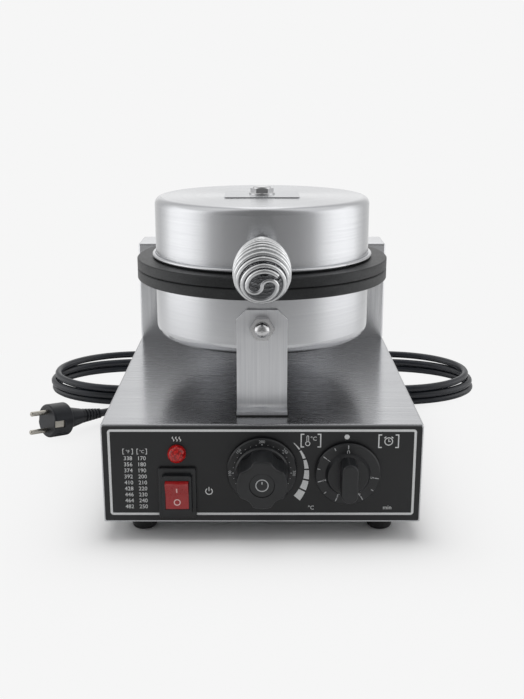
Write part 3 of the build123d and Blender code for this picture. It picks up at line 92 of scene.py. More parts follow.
def linear(colour: str) -> tuple[float, float, float, float]:
    """Turns a colour from sRGB hex to linear light.

    Args:
        colour: Six hex digits after a hash.

    Returns:
        Red, green, blue and an alpha of 1.
    """
    parts = np.array([int(colour[i : i + 2], 16) for i in (1, 3, 5)]) / 255.0
    light = np.where(parts <= 0.04045, parts / 12.92, ((parts + 0.055) / 1.055) ** 2.4)
    return (*light.tolist(), 1.0)


def add(
    tree: bpy.types.NodeTree, kind: str, inputs: dict | None = None, **properties: object
) -> bpy.types.Node:
    """Adds one node with its settings and links.

    Args:
        tree: The node tree that gets it.
        kind: The node's type, such as ShaderNodeBump.
        inputs: For an input socket, by name or number, its value or the output that feeds it.
        **properties: The node's own settings.

    Returns:
        The new node.
    """
    node = tree.nodes.new(kind)
    for name, value in properties.items():
        setattr(node, name, value)
    for socket, value in (inputs or {}).items():
        if isinstance(value, bpy.types.NodeSocket):
            tree.links.new(value, node.inputs[socket])
        else:
            node.inputs[socket].default_value = value
    return node


def new_material(name: str) -> tuple[bpy.types.Material, bpy.types.NodeTree]:
    """Makes an empty node material.

    Args:
        name: What the material really is.

    Returns:
        The material and its cleared node tree.
    """
    material = bpy.data.materials.new(name)
    material.use_nodes = True
    material.node_tree.nodes.clear()
    return material, material.node_tree


def noise(
    tree: bpy.types.NodeTree,
    size_mm: Triple,
    detail: float = 3.0,
    rough: float = 0.55,
    vector: bpy.types.NodeSocket | None = None,
) -> bpy.types.NodeSocket:
    """Noise on the piece's own coordinates, stretched to a real size.

    Args:
        tree: The material's nodes.
        size_mm: Size of one patch along X, Y and Z, in millimetres.
        detail: Octaves.
        rough: Share of the finer octaves.
        vector: Position in metres, or the object's own coordinates where there is none.

    Returns:
        The noise value's socket, around 0.5.
    """
    if vector is None:
        vector = add(tree, "ShaderNodeTexCoord").outputs["Object"]
    stretch = {0: vector, 1: tuple(1000.0 / size for size in size_mm)}
    placed = add(tree, "ShaderNodeVectorMath", stretch, operation="MULTIPLY").outputs[0]
    inputs = {"Vector": placed, "Scale": 1.0, "Detail": detail, "Roughness": rough}
    return add(tree, "ShaderNodeTexNoise", inputs).outputs["Fac"]


def skin(
    tree: bpy.types.NodeTree,
    stain: bpy.types.NodeSocket,
    tones: tuple[str, str],
    wear: bpy.types.NodeSocket,
    roughness: Pair,
    relief: bpy.types.NodeSocket | None = None,
    depth_mm: float = 0.0,
) -> dict:
    """Colour, roughness and relief of a surface, each led by a pattern.

    A pattern's usual reach, 0.3 to 0.7, is spread from the first tone or roughness to the second.

    Args:
        tree: The material's nodes.
        stain: Pattern of the colour.
        tones: Hex colours where it is low and where it is high.
        wear: Pattern of the roughness.
        roughness: Roughness where that is low and where it is high.
        relief: Height from 0 to 1, or none for a flat surface.
        depth_mm: Real height of the relief, in millimetres.

    Returns:
        Inputs of the Principled shader.
    """
    reach = {"From Min": 0.3, "From Max": 0.7}
    share = add(tree, "ShaderNodeMapRange", reach | {"Value": stain}).outputs["Result"]
    colours = {0: share, 6: linear(tones[0]), 7: linear(tones[1])}
    ends = {"Value": wear, "To Min": roughness[0], "To Max": roughness[1]}
    inputs = {
        "Base Color": add(tree, "ShaderNodeMix", colours, data_type="RGBA").outputs[2],
        "Roughness": add(tree, "ShaderNodeMapRange", reach | ends).outputs["Result"],
    }
    if relief is not None:
        height = {"Height": relief, "Strength": 1.0, "Distance": depth_mm / 1000.0}
        inputs["Normal"] = add(tree, "ShaderNodeBump", height).outputs["Normal"]
    return inputs


def around_head(tree: bpy.types.NodeTree) -> bpy.types.NodeSocket:
    """Position in which lines round the head's axis become level lines.

    The distance from the axis is added to the height, so that a wall has level rings and a flat top
    has rings round its middle, with no seam.

    Args:
        tree: The material's nodes.

    Returns:
        The position's socket, in metres.
    """
    place = add(tree, "ShaderNodeTexCoord").outputs["Object"]
    offset = {0: place, 1: (0.0, (MIDDLE_Y - HEAD_Y) / 1000.0, 0.0)}
    centred = add(tree, "ShaderNodeVectorMath", offset, operation="ADD").outputs[0]
    parts = add(tree, "ShaderNodeSeparateXYZ", {0: centred}).outputs
    plan = {"X": parts["X"], "Y": parts["Y"]}
    flat = add(tree, "ShaderNodeCombineXYZ", plan).outputs[0]
    away = add(tree, "ShaderNodeVectorMath", {0: flat}, operation="LENGTH").outputs["Value"]
    level = add(tree, "ShaderNodeMath", {0: parts["Z"], 1: away}, operation="ADD").outputs[0]
    return add(tree, "ShaderNodeCombineXYZ", plan | {"Z": level}).outputs[0]


def outward(tree: bpy.types.NodeTree, foot: Triple, way: Triple) -> bpy.types.NodeSocket:
    """How far a face looks away from an axis: 0 towards it, 1 away from it.

    Args:
        tree: The material's nodes.
        foot: A point of the axis in the working frame, in millimetres.
        way: The axis's direction, of length 1.

    Returns:
        The share's socket.
    """
    kind = "ShaderNodeVectorMath"
    coordinates = add(tree, "ShaderNodeTexCoord").outputs
    start = {0: coordinates["Object"], 1: to_row(foot).tolist()}
    place = add(tree, kind, start, operation="SUBTRACT").outputs[0]
    along = add(tree, kind, {0: place, 1: way}, operation="PROJECT").outputs[0]
    away = add(tree, kind, {0: place, 1: along}, operation="SUBTRACT").outputs[0]
    unit = add(tree, kind, {0: away}, operation="NORMALIZE").outputs[0]
    facing = {0: unit, 1: coordinates["Normal"]}
    level = add(tree, kind, facing, operation="DOT_PRODUCT").outputs["Value"]
    reach = {"Value": level, "From Min": -0.35, "From Max": 0.25}
    return add(tree, "ShaderNodeMapRange", reach).outputs["Result"]


@dataclass(frozen=True)
class Finish:
    """A finish, named for what the material really is."""

    name: str

    def surface(self, tree: bpy.types.NodeTree) -> dict:
        """Adds the finish's patterns; each kind of finish has its own."""
        raise NotImplementedError(self.name)

    def build(self) -> bpy.types.Material:
        """Makes the material: the surface in one Principled shader.

        Returns:
            The material.
        """
        material, tree = new_material(self.name)
        shader = add(tree, "ShaderNodeBsdfPrincipled", self.surface(tree))
        add(tree, "ShaderNodeOutputMaterial", {"Surface": shader.outputs["BSDF"]})
        return material


@dataclass(frozen=True)
class BrushedStainless(Finish):
    """Stainless steel, grade 304, brushed with a fine belt: long lines that spread reflections
    across themselves, a cool pale grey, and faint cloudy patches where hands have wiped it.

    The real lines are 0.05 to 0.1 mm wide; they are drawn 0.5 mm wide so that they show.
    """

    grain: Grain
    tone: str = "#CDCED0"
    shade: str = "#B9BABD"
    line_mm: float = 0.5
    run_mm: float = 38.0
    broad: float = 3.0  # size of the broader streaks, in lines
    cloud_mm: float = 70.0
    smooth: float = 0.24
    rough: float = 0.36
    depth_mm: float = 0.006
    anisotropic: float = 0.0
    turn: float = 0.25  # of the wider spread, in whole turns from level
    under: str = ""  # painted shade: darker tone of faces that look down
    under_z: Pair = (-0.98, -0.7)  # height of the normal, from a fully shaded face to an unshaded one

    def surface(self, tree: bpy.types.NodeTree) -> dict:
        """Lines and broader streaks, mixed by clouds; the lines are also the relief.

        Args:
            tree: The material's nodes.

        Returns:
            Inputs of the Principled shader.
        """
        sizes = tuple(self.run_mm if along else self.line_mm for along in self.grain.value)
        vector = around_head(tree) if self.grain is Grain.AROUND else None
        lines = noise(tree, sizes, 4.0, 0.6, vector)
        broad = noise(tree, tuple(size * self.broad for size in sizes), 2.0, 0.5, vector)
        cloud = noise(tree, (self.cloud_mm,) * 3, 2.0)
        both = add(tree, "ShaderNodeMix", {0: cloud, 2: lines, 3: broad}).outputs[0]
        tones, roughness = (self.tone, self.shade), (self.smooth, self.rough)
        inputs = skin(tree, both, tones, both, roughness, lines, self.depth_mm)
        # Painted shade: faces that look down get a darker tone, as if in shadow.
        if self.under:
            facing = add(tree, "ShaderNodeTexCoord").outputs["Normal"]
            height = add(tree, "ShaderNodeSeparateXYZ", {0: facing}).outputs["Z"]
            low, high = self.under_z
            lit = {"Value": height, "From Min": low, "From Max": high}
            share = add(tree, "ShaderNodeMapRange", lit).outputs["Result"]
            tones = {0: share, 6: linear(self.under), 7: inputs["Base Color"]}
            inputs["Base Color"] = add(tree, "ShaderNodeMix", tones, data_type="RGBA").outputs[2]
        if self.grain is Grain.ACROSS:
            # From front to back on a top and on a side, upright on a front.
            way = {"Vector": (0.0, 1.0, 0.02)}
            turned = {"vector_type": "VECTOR", "convert_from": "OBJECT", "convert_to": "WORLD"}
            tangent = add(tree, "ShaderNodeVectorTransform", way, **turned)
            inputs["Tangent"] = tangent.outputs[0]
        spread = {"Anisotropic": self.anisotropic, "Anisotropic Rotation": self.turn}
        return inputs | spread | {"Metallic": 1.0}


@dataclass(frozen=True)
class PlatedMetal(Finish):
    """Steel or brass with a bright nickel or chrome plating: crisp reflections that waver a little
    over the polished metal below, and a few duller rubbed spots."""

    tone: str = "#D5D5D6"
    shade: str = "#C0C0C1"
    smooth: float = 0.12
    rough: float = 0.24
    wave_mm: float = 3.0
    depth_mm: float = 0.015
    inside: str = ""  # painted shade: darker tone of faces that look towards the handle's axis, between the turns

    def surface(self, tree: bpy.types.NodeTree) -> dict:
        """Rubbed spots in the colour and the gloss, over a wavy relief.

        Args:
            tree: The material's nodes.

        Returns:
            Inputs of the Principled shader.
        """
        wave = noise(tree, (self.wave_mm,) * 3, 2.0)
        rub = noise(tree, (self.wave_mm * 0.4,) * 3, 4.0, 0.7)
        tones, roughness = (self.tone, self.shade), (self.smooth, self.rough)
        inputs = skin(tree, rub, tones, rub, roughness, wave, self.depth_mm)
        # Painted shade: faces that look in towards the handle's axis get a darker tone, as if
        # shaded between the turns.
        if self.inside:
            share = outward(tree, HANDLE_FOOT, HANDLE_WAY)
            tones = {0: share, 6: linear(self.inside), 7: inputs["Base Color"]}
            inputs["Base Color"] = add(tree, "ShaderNodeMix", tones, data_type="RGBA").outputs[2]
        return inputs | {"Metallic": 1.0}


@dataclass(frozen=True)
class CastMetal(Finish):
    """Cast aluminium or iron under a dark baked coating: a sandy skin of 1 mm grains that breaks up
    highlights, darker in its pits and a little shinier on its crests."""

    tone: str = "#3A3B3C"
    pit: str = "#202122"
    grain_mm: float = 1.1
    depth_mm: float = 0.05
    metallic: float = 0.55
    smooth: float = 0.36
    rough: float = 0.52
    crest: str = ""  # tone of the ribs' crests, by the mesh's own "crest" values: rubbed wear and a painted highlight that makes the ribs show
    crest_rough: float = 0.22
    stain_mm: Triple = (26.0, 26.0, 9.0)
    stained: float = 0.45  # share of the stains in the colour

    def surface(self, tree: bpy.types.NodeTree) -> dict:
        """Sand and stains in the colour, sand in the gloss and the relief.

        Args:
            tree: The material's nodes.

        Returns:
            Inputs of the Principled shader.
        """
        sand = noise(tree, (self.grain_mm,) * 3, 4.0, 0.65)
        stain = noise(tree, self.stain_mm, 3.0)
        mixed = add(tree, "ShaderNodeMix", {0: self.stained, 2: sand, 3: stain}).outputs[0]
        tones, roughness = (self.pit, self.tone), (self.rough, self.smooth)
        inputs = skin(tree, mixed, tones, sand, roughness, sand, self.depth_mm)
        # Lighter crests: partly rubbed wear, partly a painted highlight that makes the ribs show.
        if self.crest:
            high = add(tree, "ShaderNodeAttribute", attribute_name="crest").outputs["Fac"]
            tones = {0: high, 6: inputs["Base Color"], 7: linear(self.crest)}
            gloss = {0: high, 2: inputs["Roughness"], 3: self.crest_rough}
            inputs["Base Color"] = add(tree, "ShaderNodeMix", tones, data_type="RGBA").outputs[2]
            inputs["Roughness"] = add(tree, "ShaderNodeMix", gloss).outputs[0]
        return inputs | {"Metallic": self.metallic}


@dataclass(frozen=True)
class Moulded(Finish):
    """A moulded plastic or rubber: one tone with slight flow marks, and the fine spark-eroded
    texture of its mould, which softens the gloss. The texture's 0.1 mm cells are drawn 0.5 mm wide
    to show."""

    tone: str
    flow: str
    smooth: float = 0.32
    rough: float = 0.44
    cell_mm: float = 0.5
    depth_mm: float = 0.008
    ior: float = 1.5
    coat: float = 0.0
    coat_rough: float = 0.08
    flow_mm: Triple = (14.0, 14.0, 22.0)

    def surface(self, tree: bpy.types.NodeTree) -> dict:
        """Flow marks in the colour, both patterns in the gloss, cells in the relief.

        Args:
            tree: The material's nodes.

        Returns:
            Inputs of the Principled shader.
        """
        cells = noise(tree, (self.cell_mm,) * 3, 2.0)
        marks = noise(tree, self.flow_mm, 3.0)
        both = add(tree, "ShaderNodeMix", {0: 0.5, 2: cells, 3: marks}).outputs[0]
        tones, roughness = (self.tone, self.flow), (self.smooth, self.rough)
        inputs = skin(tree, marks, tones, both, roughness, cells, self.depth_mm)
        coat = {"Coat Weight": self.coat, "Coat Roughness": self.coat_rough}
        return inputs | coat | {"IOR": self.ior}


@dataclass(frozen=True)
class PrismLens(Finish):
    """Clear red polycarbonate with small prisms moulded inside: a glossy skin over bright and deep
    cells 1.6 mm across."""

    bright: str = "#CC1C19"
    deep: str = "#860A0D"
    prism_mm: float = 1.6
    wear_mm: float = 2.0
    smooth: float = 0.16
    rough: float = 0.28
    ior: float = 1.45
    coat: float = 0.3
    coat_rough: float = 0.05

    def surface(self, tree: bpy.types.NodeTree) -> dict:
        """Cells in the colour and soft marks in the gloss.

        Args:
            tree: The material's nodes.

        Returns:
            Inputs of the Principled shader.
        """
        place = add(tree, "ShaderNodeTexCoord").outputs["Object"]
        size = {"Vector": place, "Scale": 1000.0 / self.prism_mm}
        cells = add(tree, "ShaderNodeTexVoronoi", size).outputs["Distance"]
        wear = noise(tree, (self.wear_mm,) * 3)
        inputs = skin(tree, cells, (self.bright, self.deep), wear, (self.smooth, self.rough))
        coat = {"Coat Weight": self.coat, "Coat Roughness": self.coat_rough}
        return inputs | coat | {"IOR": self.ior}


@dataclass(frozen=True)
class ScreenInk(Finish):
    """Screen-printed ink: flat, a little chalky, and thinner in places, where the ground shows
    through."""

    tone: str
    thin: str
    mesh_mm: float = 0.6
    smooth: float = 0.5
    rough: float = 0.65
    depth_mm: float = 0.004
    ior: float = 1.5

    def surface(self, tree: bpy.types.NodeTree) -> dict:
        """The printing mesh in the colour, the gloss and the relief.

        Args:
            tree: The material's nodes.

        Returns:
            Inputs of the Principled shader.
        """
        weave = noise(tree, (self.mesh_mm,) * 3, 3.0)
        tones, roughness = (self.tone, self.thin), (self.smooth, self.rough)
        inputs = skin(tree, weave, tones, weave, roughness, weave, self.depth_mm)
        return inputs | {"IOR": self.ior}


STEEL_ACROSS = BrushedStainless(
    "brushed stainless, lines across",
    Grain.ACROSS,
    smooth=0.2,
    rough=0.3,
    anisotropic=0.8,
    turn=0.0,
)
STEEL_UPRIGHT = BrushedStainless(
    "brushed stainless, lines upright",
    Grain.UPRIGHT,
    "#E3E4E6",
    "#D3D4D7",
    smooth=0.4,
    rough=0.5,
    depth_mm=0.003,
    anisotropic=0.8,
    turn=0.0,
)
STEEL_BACK = BrushedStainless(
    "brushed stainless, lines upright, fine",
    Grain.UPRIGHT,
    "#DEDFE1",
    "#CECFD2",
    smooth=0.2,
    rough=0.28,
    depth_mm=0.003,
    anisotropic=0.3,
    turn=0.0,
)
STEEL_AROUND = BrushedStainless(
    "spun stainless, lines around",
    Grain.AROUND,
    shade="#C4C5C8",
    line_mm=0.4,
    run_mm=40.0,
    smooth=0.19,
    rough=0.25,
    depth_mm=0.003,
    anisotropic=0.8,
    # painted shade on the housings' downward faces
    under="#8A8988",
)
ZINC_SHEET = BrushedStainless(
    "zinc-plated sheet",
    Grain.ACROSS,
    "#B3B6B8",
    "#989B9F",
    line_mm=2.0,
    run_mm=9.0,
    smooth=0.38,
    rough=0.52,
    depth_mm=0.01,
)
ALUMINISED = BrushedStainless(
    "aluminised sheet",
    Grain.AROUND,
    "#B9BABB",
    "#A2A3A5",
    line_mm=1.2,
    run_mm=20.0,
    smooth=0.4,
    rough=0.55,
    depth_mm=0.01,
)
NICKEL = PlatedMetal("bright nickel on steel")
CHROME_WIRE = PlatedMetal(
    "chromed spring wire",
    "#E4E5E6",
    "#CBCCCD",
    smooth=0.14,
    rough=0.22,
    wave_mm=5.0,
    depth_mm=0.01,
    # painted shade inside the coil
    inside="#9FA0A2",
)
PIN_METAL = PlatedMetal(
    "nickel on turned brass",
    "#C8C4BB",
    "#ADA99F",
    smooth=0.2,
    rough=0.34,
    wave_mm=1.5,
    depth_mm=0.01,
)
ZINC_SCREW = PlatedMetal(
    "zinc on cold-headed steel",
    "#B8B9B6",
    "#9D9E9B",
    smooth=0.26,
    rough=0.4,
    wave_mm=1.0,
    depth_mm=0.02,
)
BAKING = CastMetal("cast baking plate, black coating")
# lighter crests: rubbed wear and a painted highlight that makes the ribs show
RELIEF = CastMetal("cast baking ribs, crests worn and painted light", crest="#84868A")
ELEMENT = CastMetal(
    "heating element tube, heat-tinted",
    "#6A5F55",
    "#3B3531",
    grain_mm=2.4,
    depth_mm=0.01,
    metallic=0.8,
    smooth=0.4,
    rough=0.55,
)
# Each moulding: its tone and flow marks, its roughness from and to, and its texture's cells and
# depth in millimetres.
FOIL = Moulded("matt polyester foil, black", "#151618", "#1A1B1D", 0.38, 0.5, 0.8, 0.004)
PHENOLIC = Moulded("phenolic moulding, black", "#191A1C", "#222325", 0.3, 0.42, 0.7, 0.01)
ABS_BLACK = Moulded("ABS moulding, black", "#17181A", "#1E2022", 0.26, 0.36, 0.6, 0.006)
RUBBER = Moulded("nitrile rubber, black", "#0F0F10", "#18181A", 0.6, 0.78, 0.9, 0.02)
PVC = Moulded("soft PVC jacket, black", "#14171D", "#1B1F27", 0.28, 0.38, 1.2, 0.008)
PVC_PLUG = Moulded("soft PVC moulding, black", "#111318", "#181B21", 0.34, 0.46, 0.8, 0.01)
ROCKER_RED = Moulded(
    "translucent red polycarbonate", "#97181A", "#AC2022", 0.24, 0.34, 1.0, 0.004, coat=0.3
)
POLYAMIDE = Moulded("natural polyamide", "#E4E0D4", "#D9D4C5", 0.4, 0.52, 0.8, 0.01)
LENS = PrismLens("prismatic polycarbonate lens, red")
WHITE_INK = ScreenInk("white screen ink", "#E9EAEA", "#D2D4D5")
PAD_INK = ScreenInk("white pad print", "#C9CBCC", "#A9ABAD")
RED_INK = ScreenInk("white print on red", "#F2DAD8", "#E4BDBA")

NODE_FINISHES = {
    STEEL_ACROSS: ("base_shell", "rear_cover", "lid_plate"),
    STEEL_UPRIGHT: ("front_bracket",),
    STEEL_BACK: ("rear_upright",),
    STEEL_AROUND: ("upper_housing", "lower_housing"),
    ZINC_SHEET: ("base_bottom_plate", "support_conduit", "conduit_locknuts", "thermostat_body"),
    ALUMINISED: ("upper_heat_shield", "lower_heat_shield"),
    NICKEL: (
        "front_dome_nut",
        "lid_dome_nut",
        "lid_washer",
        "handle_nuts",
        "handle_stud",
        "hinge_pin",
    ),
    CHROME_WIRE: ("handle_coil",),
    PIN_METAL: ("plug_pins", "plug_earth_contacts", "thermostat_spindle", "timer_spindle"),
    ZINC_SCREW: (
        "underside_screws",
        "control_screws",
        "rear_cover_screws",
        "upright_bolts",
        "base_nuts",
        "front_bolt",
        "lower_stud",
        "lower_stud_washer",
        "lower_stud_nut",
        "lid_stud",
        "hinge_pin_clips",
        "indicator_nut",
    ),
    BAKING: ("upper_plate", "lower_plate"),
    ELEMENT: ("upper_heating_element", "lower_heating_element"),
    FOIL: ("control_panel",),
    PHENOLIC: ("temperature_knob", "temperature_dial", "timer_knob"),
    ABS_BLACK: ("switch_housing", "indicator_body", "temperature_knob_cap", "timer_body"),
    RUBBER: ("feet", "bracket_gasket", "cable_grommet"),
    PVC_PLUG: ("cord_gland", "plug_body"),
    ROCKER_RED: ("switch_rocker",),
    LENS: ("indicator_lens",),
    POLYAMIDE: ("terminal_block",),
}


class Finishes:
    """The materials, each made once."""

    def __init__(self) -> None:
        """Starts with none made."""
        self._made: dict[Finish, bpy.types.Material] = {}

    def get(self, finish: Finish) -> bpy.types.Material:
        """The finish's material, made at its first use.

        Args:
            finish: One of the frozen finishes above.

        Returns:
            Its material.
        """
        if finish not in self._made:
            self._made[finish] = finish.build()
        return self._made[finish]

    def dress_nodes(self) -> None:
        """Gives each CAD node named in NODE_FINISHES its finish, and logs the others, which keep
        their plain material.
        """
        for finish, names in NODE_FINISHES.items():
            for name in names:
                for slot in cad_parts[name].material_slots:
                    slot.material = self.get(finish)
        dressed = {name for names in NODE_FINISHES.values() for name in names}
        for name in sorted(set(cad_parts) - dressed):
            log.info("%s keeps its plain material", name)


def grid_faces(rows: int, columns: int) -> np.ndarray:
    """Quads between neighbouring points of a grid, stored row by row, whose rows are closed loops.

    Args:
        rows: Number of rows.
        columns: Number of points in each row.

    Returns:
        Array of four point numbers for each quad.
    """
    i, j = np.meshgrid(np.arange(rows - 1), np.arange(columns), indexing="ij")
    here, below, beside = i * columns, (i + 1) * columns, (j + 1) % columns
    corners = (here + j, below + j, below + beside, here + beside)
    return np.stack(corners, axis=-1).reshape(-1, 4)


def new_piece(
    name: str,
    points: np.ndarray,
    faces: list,
    finish: bpy.types.Material,
    body: str,
    smooth: bool = True,
) -> bpy.types.Object:
    """Makes a mesh piece that rides on a body.

    Args:
        name: The piece's name.
        points: Its points in the working frame, in millimetres.
        faces: Point numbers of each face, anticlockwise from outside.
        finish: Its material.
        body: The CAD body that carries it.
        smooth: Whether it shades smoothly.

    Returns:
        The new object, at the origin.
    """
    mesh = bpy.data.meshes.new(name)
    mesh.from_pydata(to_row(points).tolist(), [], [list(map(int, face)) for face in faces])
    mesh.polygons.foreach_set("use_smooth", [smooth] * len(mesh.polygons))
    mesh.materials.append(finish)
    mesh.update()
    piece = bpy.data.objects.new(name, mesh)
    bpy.context.scene.collection.objects.link(piece)
    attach(piece, body)
    log.info("%s: %d faces, rides on %s", name, len(mesh.polygons), body)
    return piece


def rounded_loop(half_w: float, half_h: float, radius: float, steps: int = 8) -> np.ndarray:
    """Points of a rectangle with round corners, from the middle of its lower side.

    Each corner is a quarter circle about a point one radius in from both sides; the loop runs
    anticlockwise.

    Args:
        half_w: Half of its width.
        half_h: Half of its height.
        radius: Radius of its corners.
        steps: Points along each corner.

    Returns:
        Array of (x, y), first point repeated at the end.
    """
    turn = np.linspace(0.0, pi / 2, steps)
    quarters = []
    for k, (sx, sy) in enumerate(((1, -1), (1, 1), (-1, 1), (-1, -1))):
        angle = turn + (k - 1) * pi / 2
        middle = (sx * (half_w - radius), sy * (half_h - radius))
        quarters.append(np.stack((np.cos(angle), np.sin(angle)), axis=-1) * radius + middle)
    foot = np.array([[0.0, -half_h]])
    return np.concatenate((foot, *quarters, foot))


def arc(radius: float, start: float, end: float, steps: int = 24) -> np.ndarray:
    """Points on a circle about (0, 0), with angles in degrees clockwise from the top."""
    angle = np.radians(np.linspace(start, end, steps))
    return np.stack((np.sin(angle), np.cos(angle)), axis=-1) * radius


def on_dial(radius: float, angle: float) -> np.ndarray:
    """The point at a radius and at an angle, in degrees clockwise from the top."""
    return arc(radius, angle, angle, 1)[0]


def lettering(text: str, height: float) -> tuple[np.ndarray, list]:
    """A line of characters as a flat closed solid.

    Args:
        text: The characters.
        height: Height of the line's box, in millimetres.

    Returns:
        Points about the middle of the line, Z from -0.5 to 0.5, and the faces.
    """
    curve = bpy.data.curves.new("lettering", "FONT")
    curve.body = text
    curve.extrude = 0.5
    curve.resolution_u = 3
    holder = bpy.data.objects.new("lettering", curve)
    mesh = bpy.data.meshes.new_from_object(holder)
    points = np.empty(len(mesh.vertices) * 3)
    mesh.vertices.foreach_get("co", points)
    points = points.reshape(-1, 3)
    faces = [list(polygon.vertices) for polygon in mesh.polygons]
    bpy.data.objects.remove(holder)
    bpy.data.curves.remove(curve)
    bpy.data.meshes.remove(mesh)
    low, high = points[:, :2].min(0), points[:, :2].max(0)
    points[:, :2] = (points[:, :2] - (low + high) / 2) * height / (high[1] - low[1])
    return points, faces


@dataclass
class Print:
    """Marks printed on one flat face, gathered into one mesh.

    A mark's (u, v) becomes origin + u right + v up, and its thickness stands along right x up.
    """

    origin: Triple
    right: Triple = (1.0, 0.0, 0.0)
    up: Triple = (0.0, 0.0, 1.0)
    points: list[np.ndarray] = field(default_factory=list)
    faces: list[list[int]] = field(default_factory=list)

    def _take(self, flat: np.ndarray, faces: list) -> None:
        """Adds a solid given by (u, v, w), with w from -0.5 on the face to 0.5 outside.

        Args:
            flat: Its points.
            faces: Their numbers in each face.
        """
        start = sum(len(part) for part in self.points)
        self.points.append(flat)
        self.faces += [[start + int(k) for k in face] for face in faces]

    def word(self, text: str, at: Pair, height: float, turn: float = 0.0) -> None:
        """Prints a line of characters.

        Args:
            text: The characters.
            at: Middle of the line.
            height: Its height.
            turn: Degrees clockwise.
        """
        flat, faces = lettering(text, height)
        angle = -radians(turn)
        spin = np.array([[cos(angle), sin(angle)], [-sin(angle), cos(angle)]])
        flat[:, :2] = flat[:, :2] @ spin + at
        self._take(flat, faces)

    def dial_word(self, text: str, radius: float, angle: float, height: float) -> None:
        """Prints characters at a radius and angle, upright where they reach the top."""
        self.word(text, on_dial(radius, angle), height, angle)

    def band(self, first: np.ndarray, second: np.ndarray) -> None:
        """Prints the strip between two lines of points, the second on the left of the first.

        Across each pair of points the strip's section is a rectangle, so the solid is a grid of
        sections with a face at each end.

        Args:
            first: Points of one edge.
            second: Points of the other edge, as many.
        """
        count = len(first)
        corners = ((first, -0.5), (first, 0.5), (second, 0.5), (second, -0.5))
        sections = np.stack([np.c_[edge, np.full(count, level)] for edge, level in corners], axis=1)
        last = 4 * (count - 1)
        faces = grid_faces(count, 4)[:, ::-1].tolist()
        faces += [[3, 2, 1, 0], [last, last + 1, last + 2, last + 3]]
        self._take(sections.reshape(-1, 3), faces)

    def line(self, path: np.ndarray, width: float) -> None:
        """Prints a line of even width along a path.

        Each point moves half the width to both sides, along the normal of the mean of its two runs.

        Args:
            path: Points of the middle of the line.
            width: The line's width.
        """
        path = np.asarray(path, float)
        runs = np.diff(path, axis=0)
        runs /= np.linalg.norm(runs, axis=1, keepdims=True)
        before, after = np.vstack((runs[:1], runs)), np.vstack((runs, runs[-1:]))
        mean = before + after
        mean /= np.linalg.norm(mean, axis=1, keepdims=True)
        reach = width / 2 / np.sum(mean * before, axis=1, keepdims=True)
        side = np.stack((-mean[:, 1], mean[:, 0]), axis=-1) * reach
        self.band(path - side, path + side)

    def ring(self, at: Pair, radius: float, width: float) -> None:
        """Prints a closed circle line, in two halves."""
        for start in (0.0, 180.0):
            self.line(arc(radius, start, start + 180.0, 17) + at, width)

    def dot(self, at: Pair, radius: float, steps: int) -> None:
        """Prints a filled round dot, as a prism of a many-sided outline.

        Args:
            at: Its middle.
            radius: Its radius.
            steps: Sides of the outline.
        """
        angle = np.linspace(0.0, tau, steps, endpoint=False)
        rim = np.stack((np.cos(angle), np.sin(angle)), axis=-1) * radius + at
        flat = np.vstack([np.c_[rim, np.full(steps, level)] for level in (-0.5, 0.5)])
        faces = grid_faces(2, steps)[:, ::-1].tolist()
        faces += [list(range(steps - 1, -1, -1)), list(range(steps, 2 * steps))]
        self._take(flat, faces)

    def brackets(
        self, middle: Pair, width: float, height: float, arm: float = 2.4, line: float = 0.9
    ) -> None:
        """Prints a pair of square brackets round a place.

        Args:
            middle: The place.
            width: From the back of one bracket to the back of the other.
            height: Height of both.
            arm: Length of their short arms.
            line: Width of their lines.
        """
        top = height / 2
        for side in (-1, 1):
            outer, inner = side * width / 2, side * (width / 2 - arm)
            corners = [(inner, top), (outer, top), (outer, -top), (inner, -top)]
            self.line(np.array(corners) + middle, line)

    def finish(self, name: str, body: str, ink: bpy.types.Material) -> bpy.types.Object:
        """Places the marks on their face as one piece.

        Args:
            name: The piece's name.
            body: The CAD body that carries it.
            ink: Its material.

        Returns:
            The piece.
        """
        flat = np.concatenate(self.points)
        right, up = np.array(self.right), np.array(self.up)
        out = np.cross(right, up)
        rise = (flat[:, 2:] + 0.5) * (INK_T + INK_SINK) - INK_SINK
        placed = np.array(self.origin) + flat[:, :1] * right + flat[:, 1:2] * up + rise * out
        return new_piece(name, placed, self.faces, ink, body, smooth=False)


@dataclass
class Camera:
    """The viewpoint: level with the handle, a little above it, looking down at the fascia."""

    place: Triple = (0.0, -688.5, 250.45)
    pitch: float = 0.2702  # radians below level
    focal_px: float = 949.85  # focal length, in pixels of the picture
    picture_h: int = 699
    film: float = 36.0

    def build(self) -> None:
        """Makes the camera and gives it to the scene."""
        data = bpy.data.cameras.new("camera")
        data.sensor_fit = "VERTICAL"
        data.sensor_height = self.film
        data.lens = self.focal_px / self.picture_h * self.film
        data.clip_start = 0.01
        camera = bpy.data.objects.new("camera", data)
        camera.location = to_row(self.place)
        camera.rotation_euler = (pi / 2 - self.pitch, 0.0, 0.0)
        bpy.context.scene.collection.objects.link(camera)
        bpy.context.scene.camera = camera


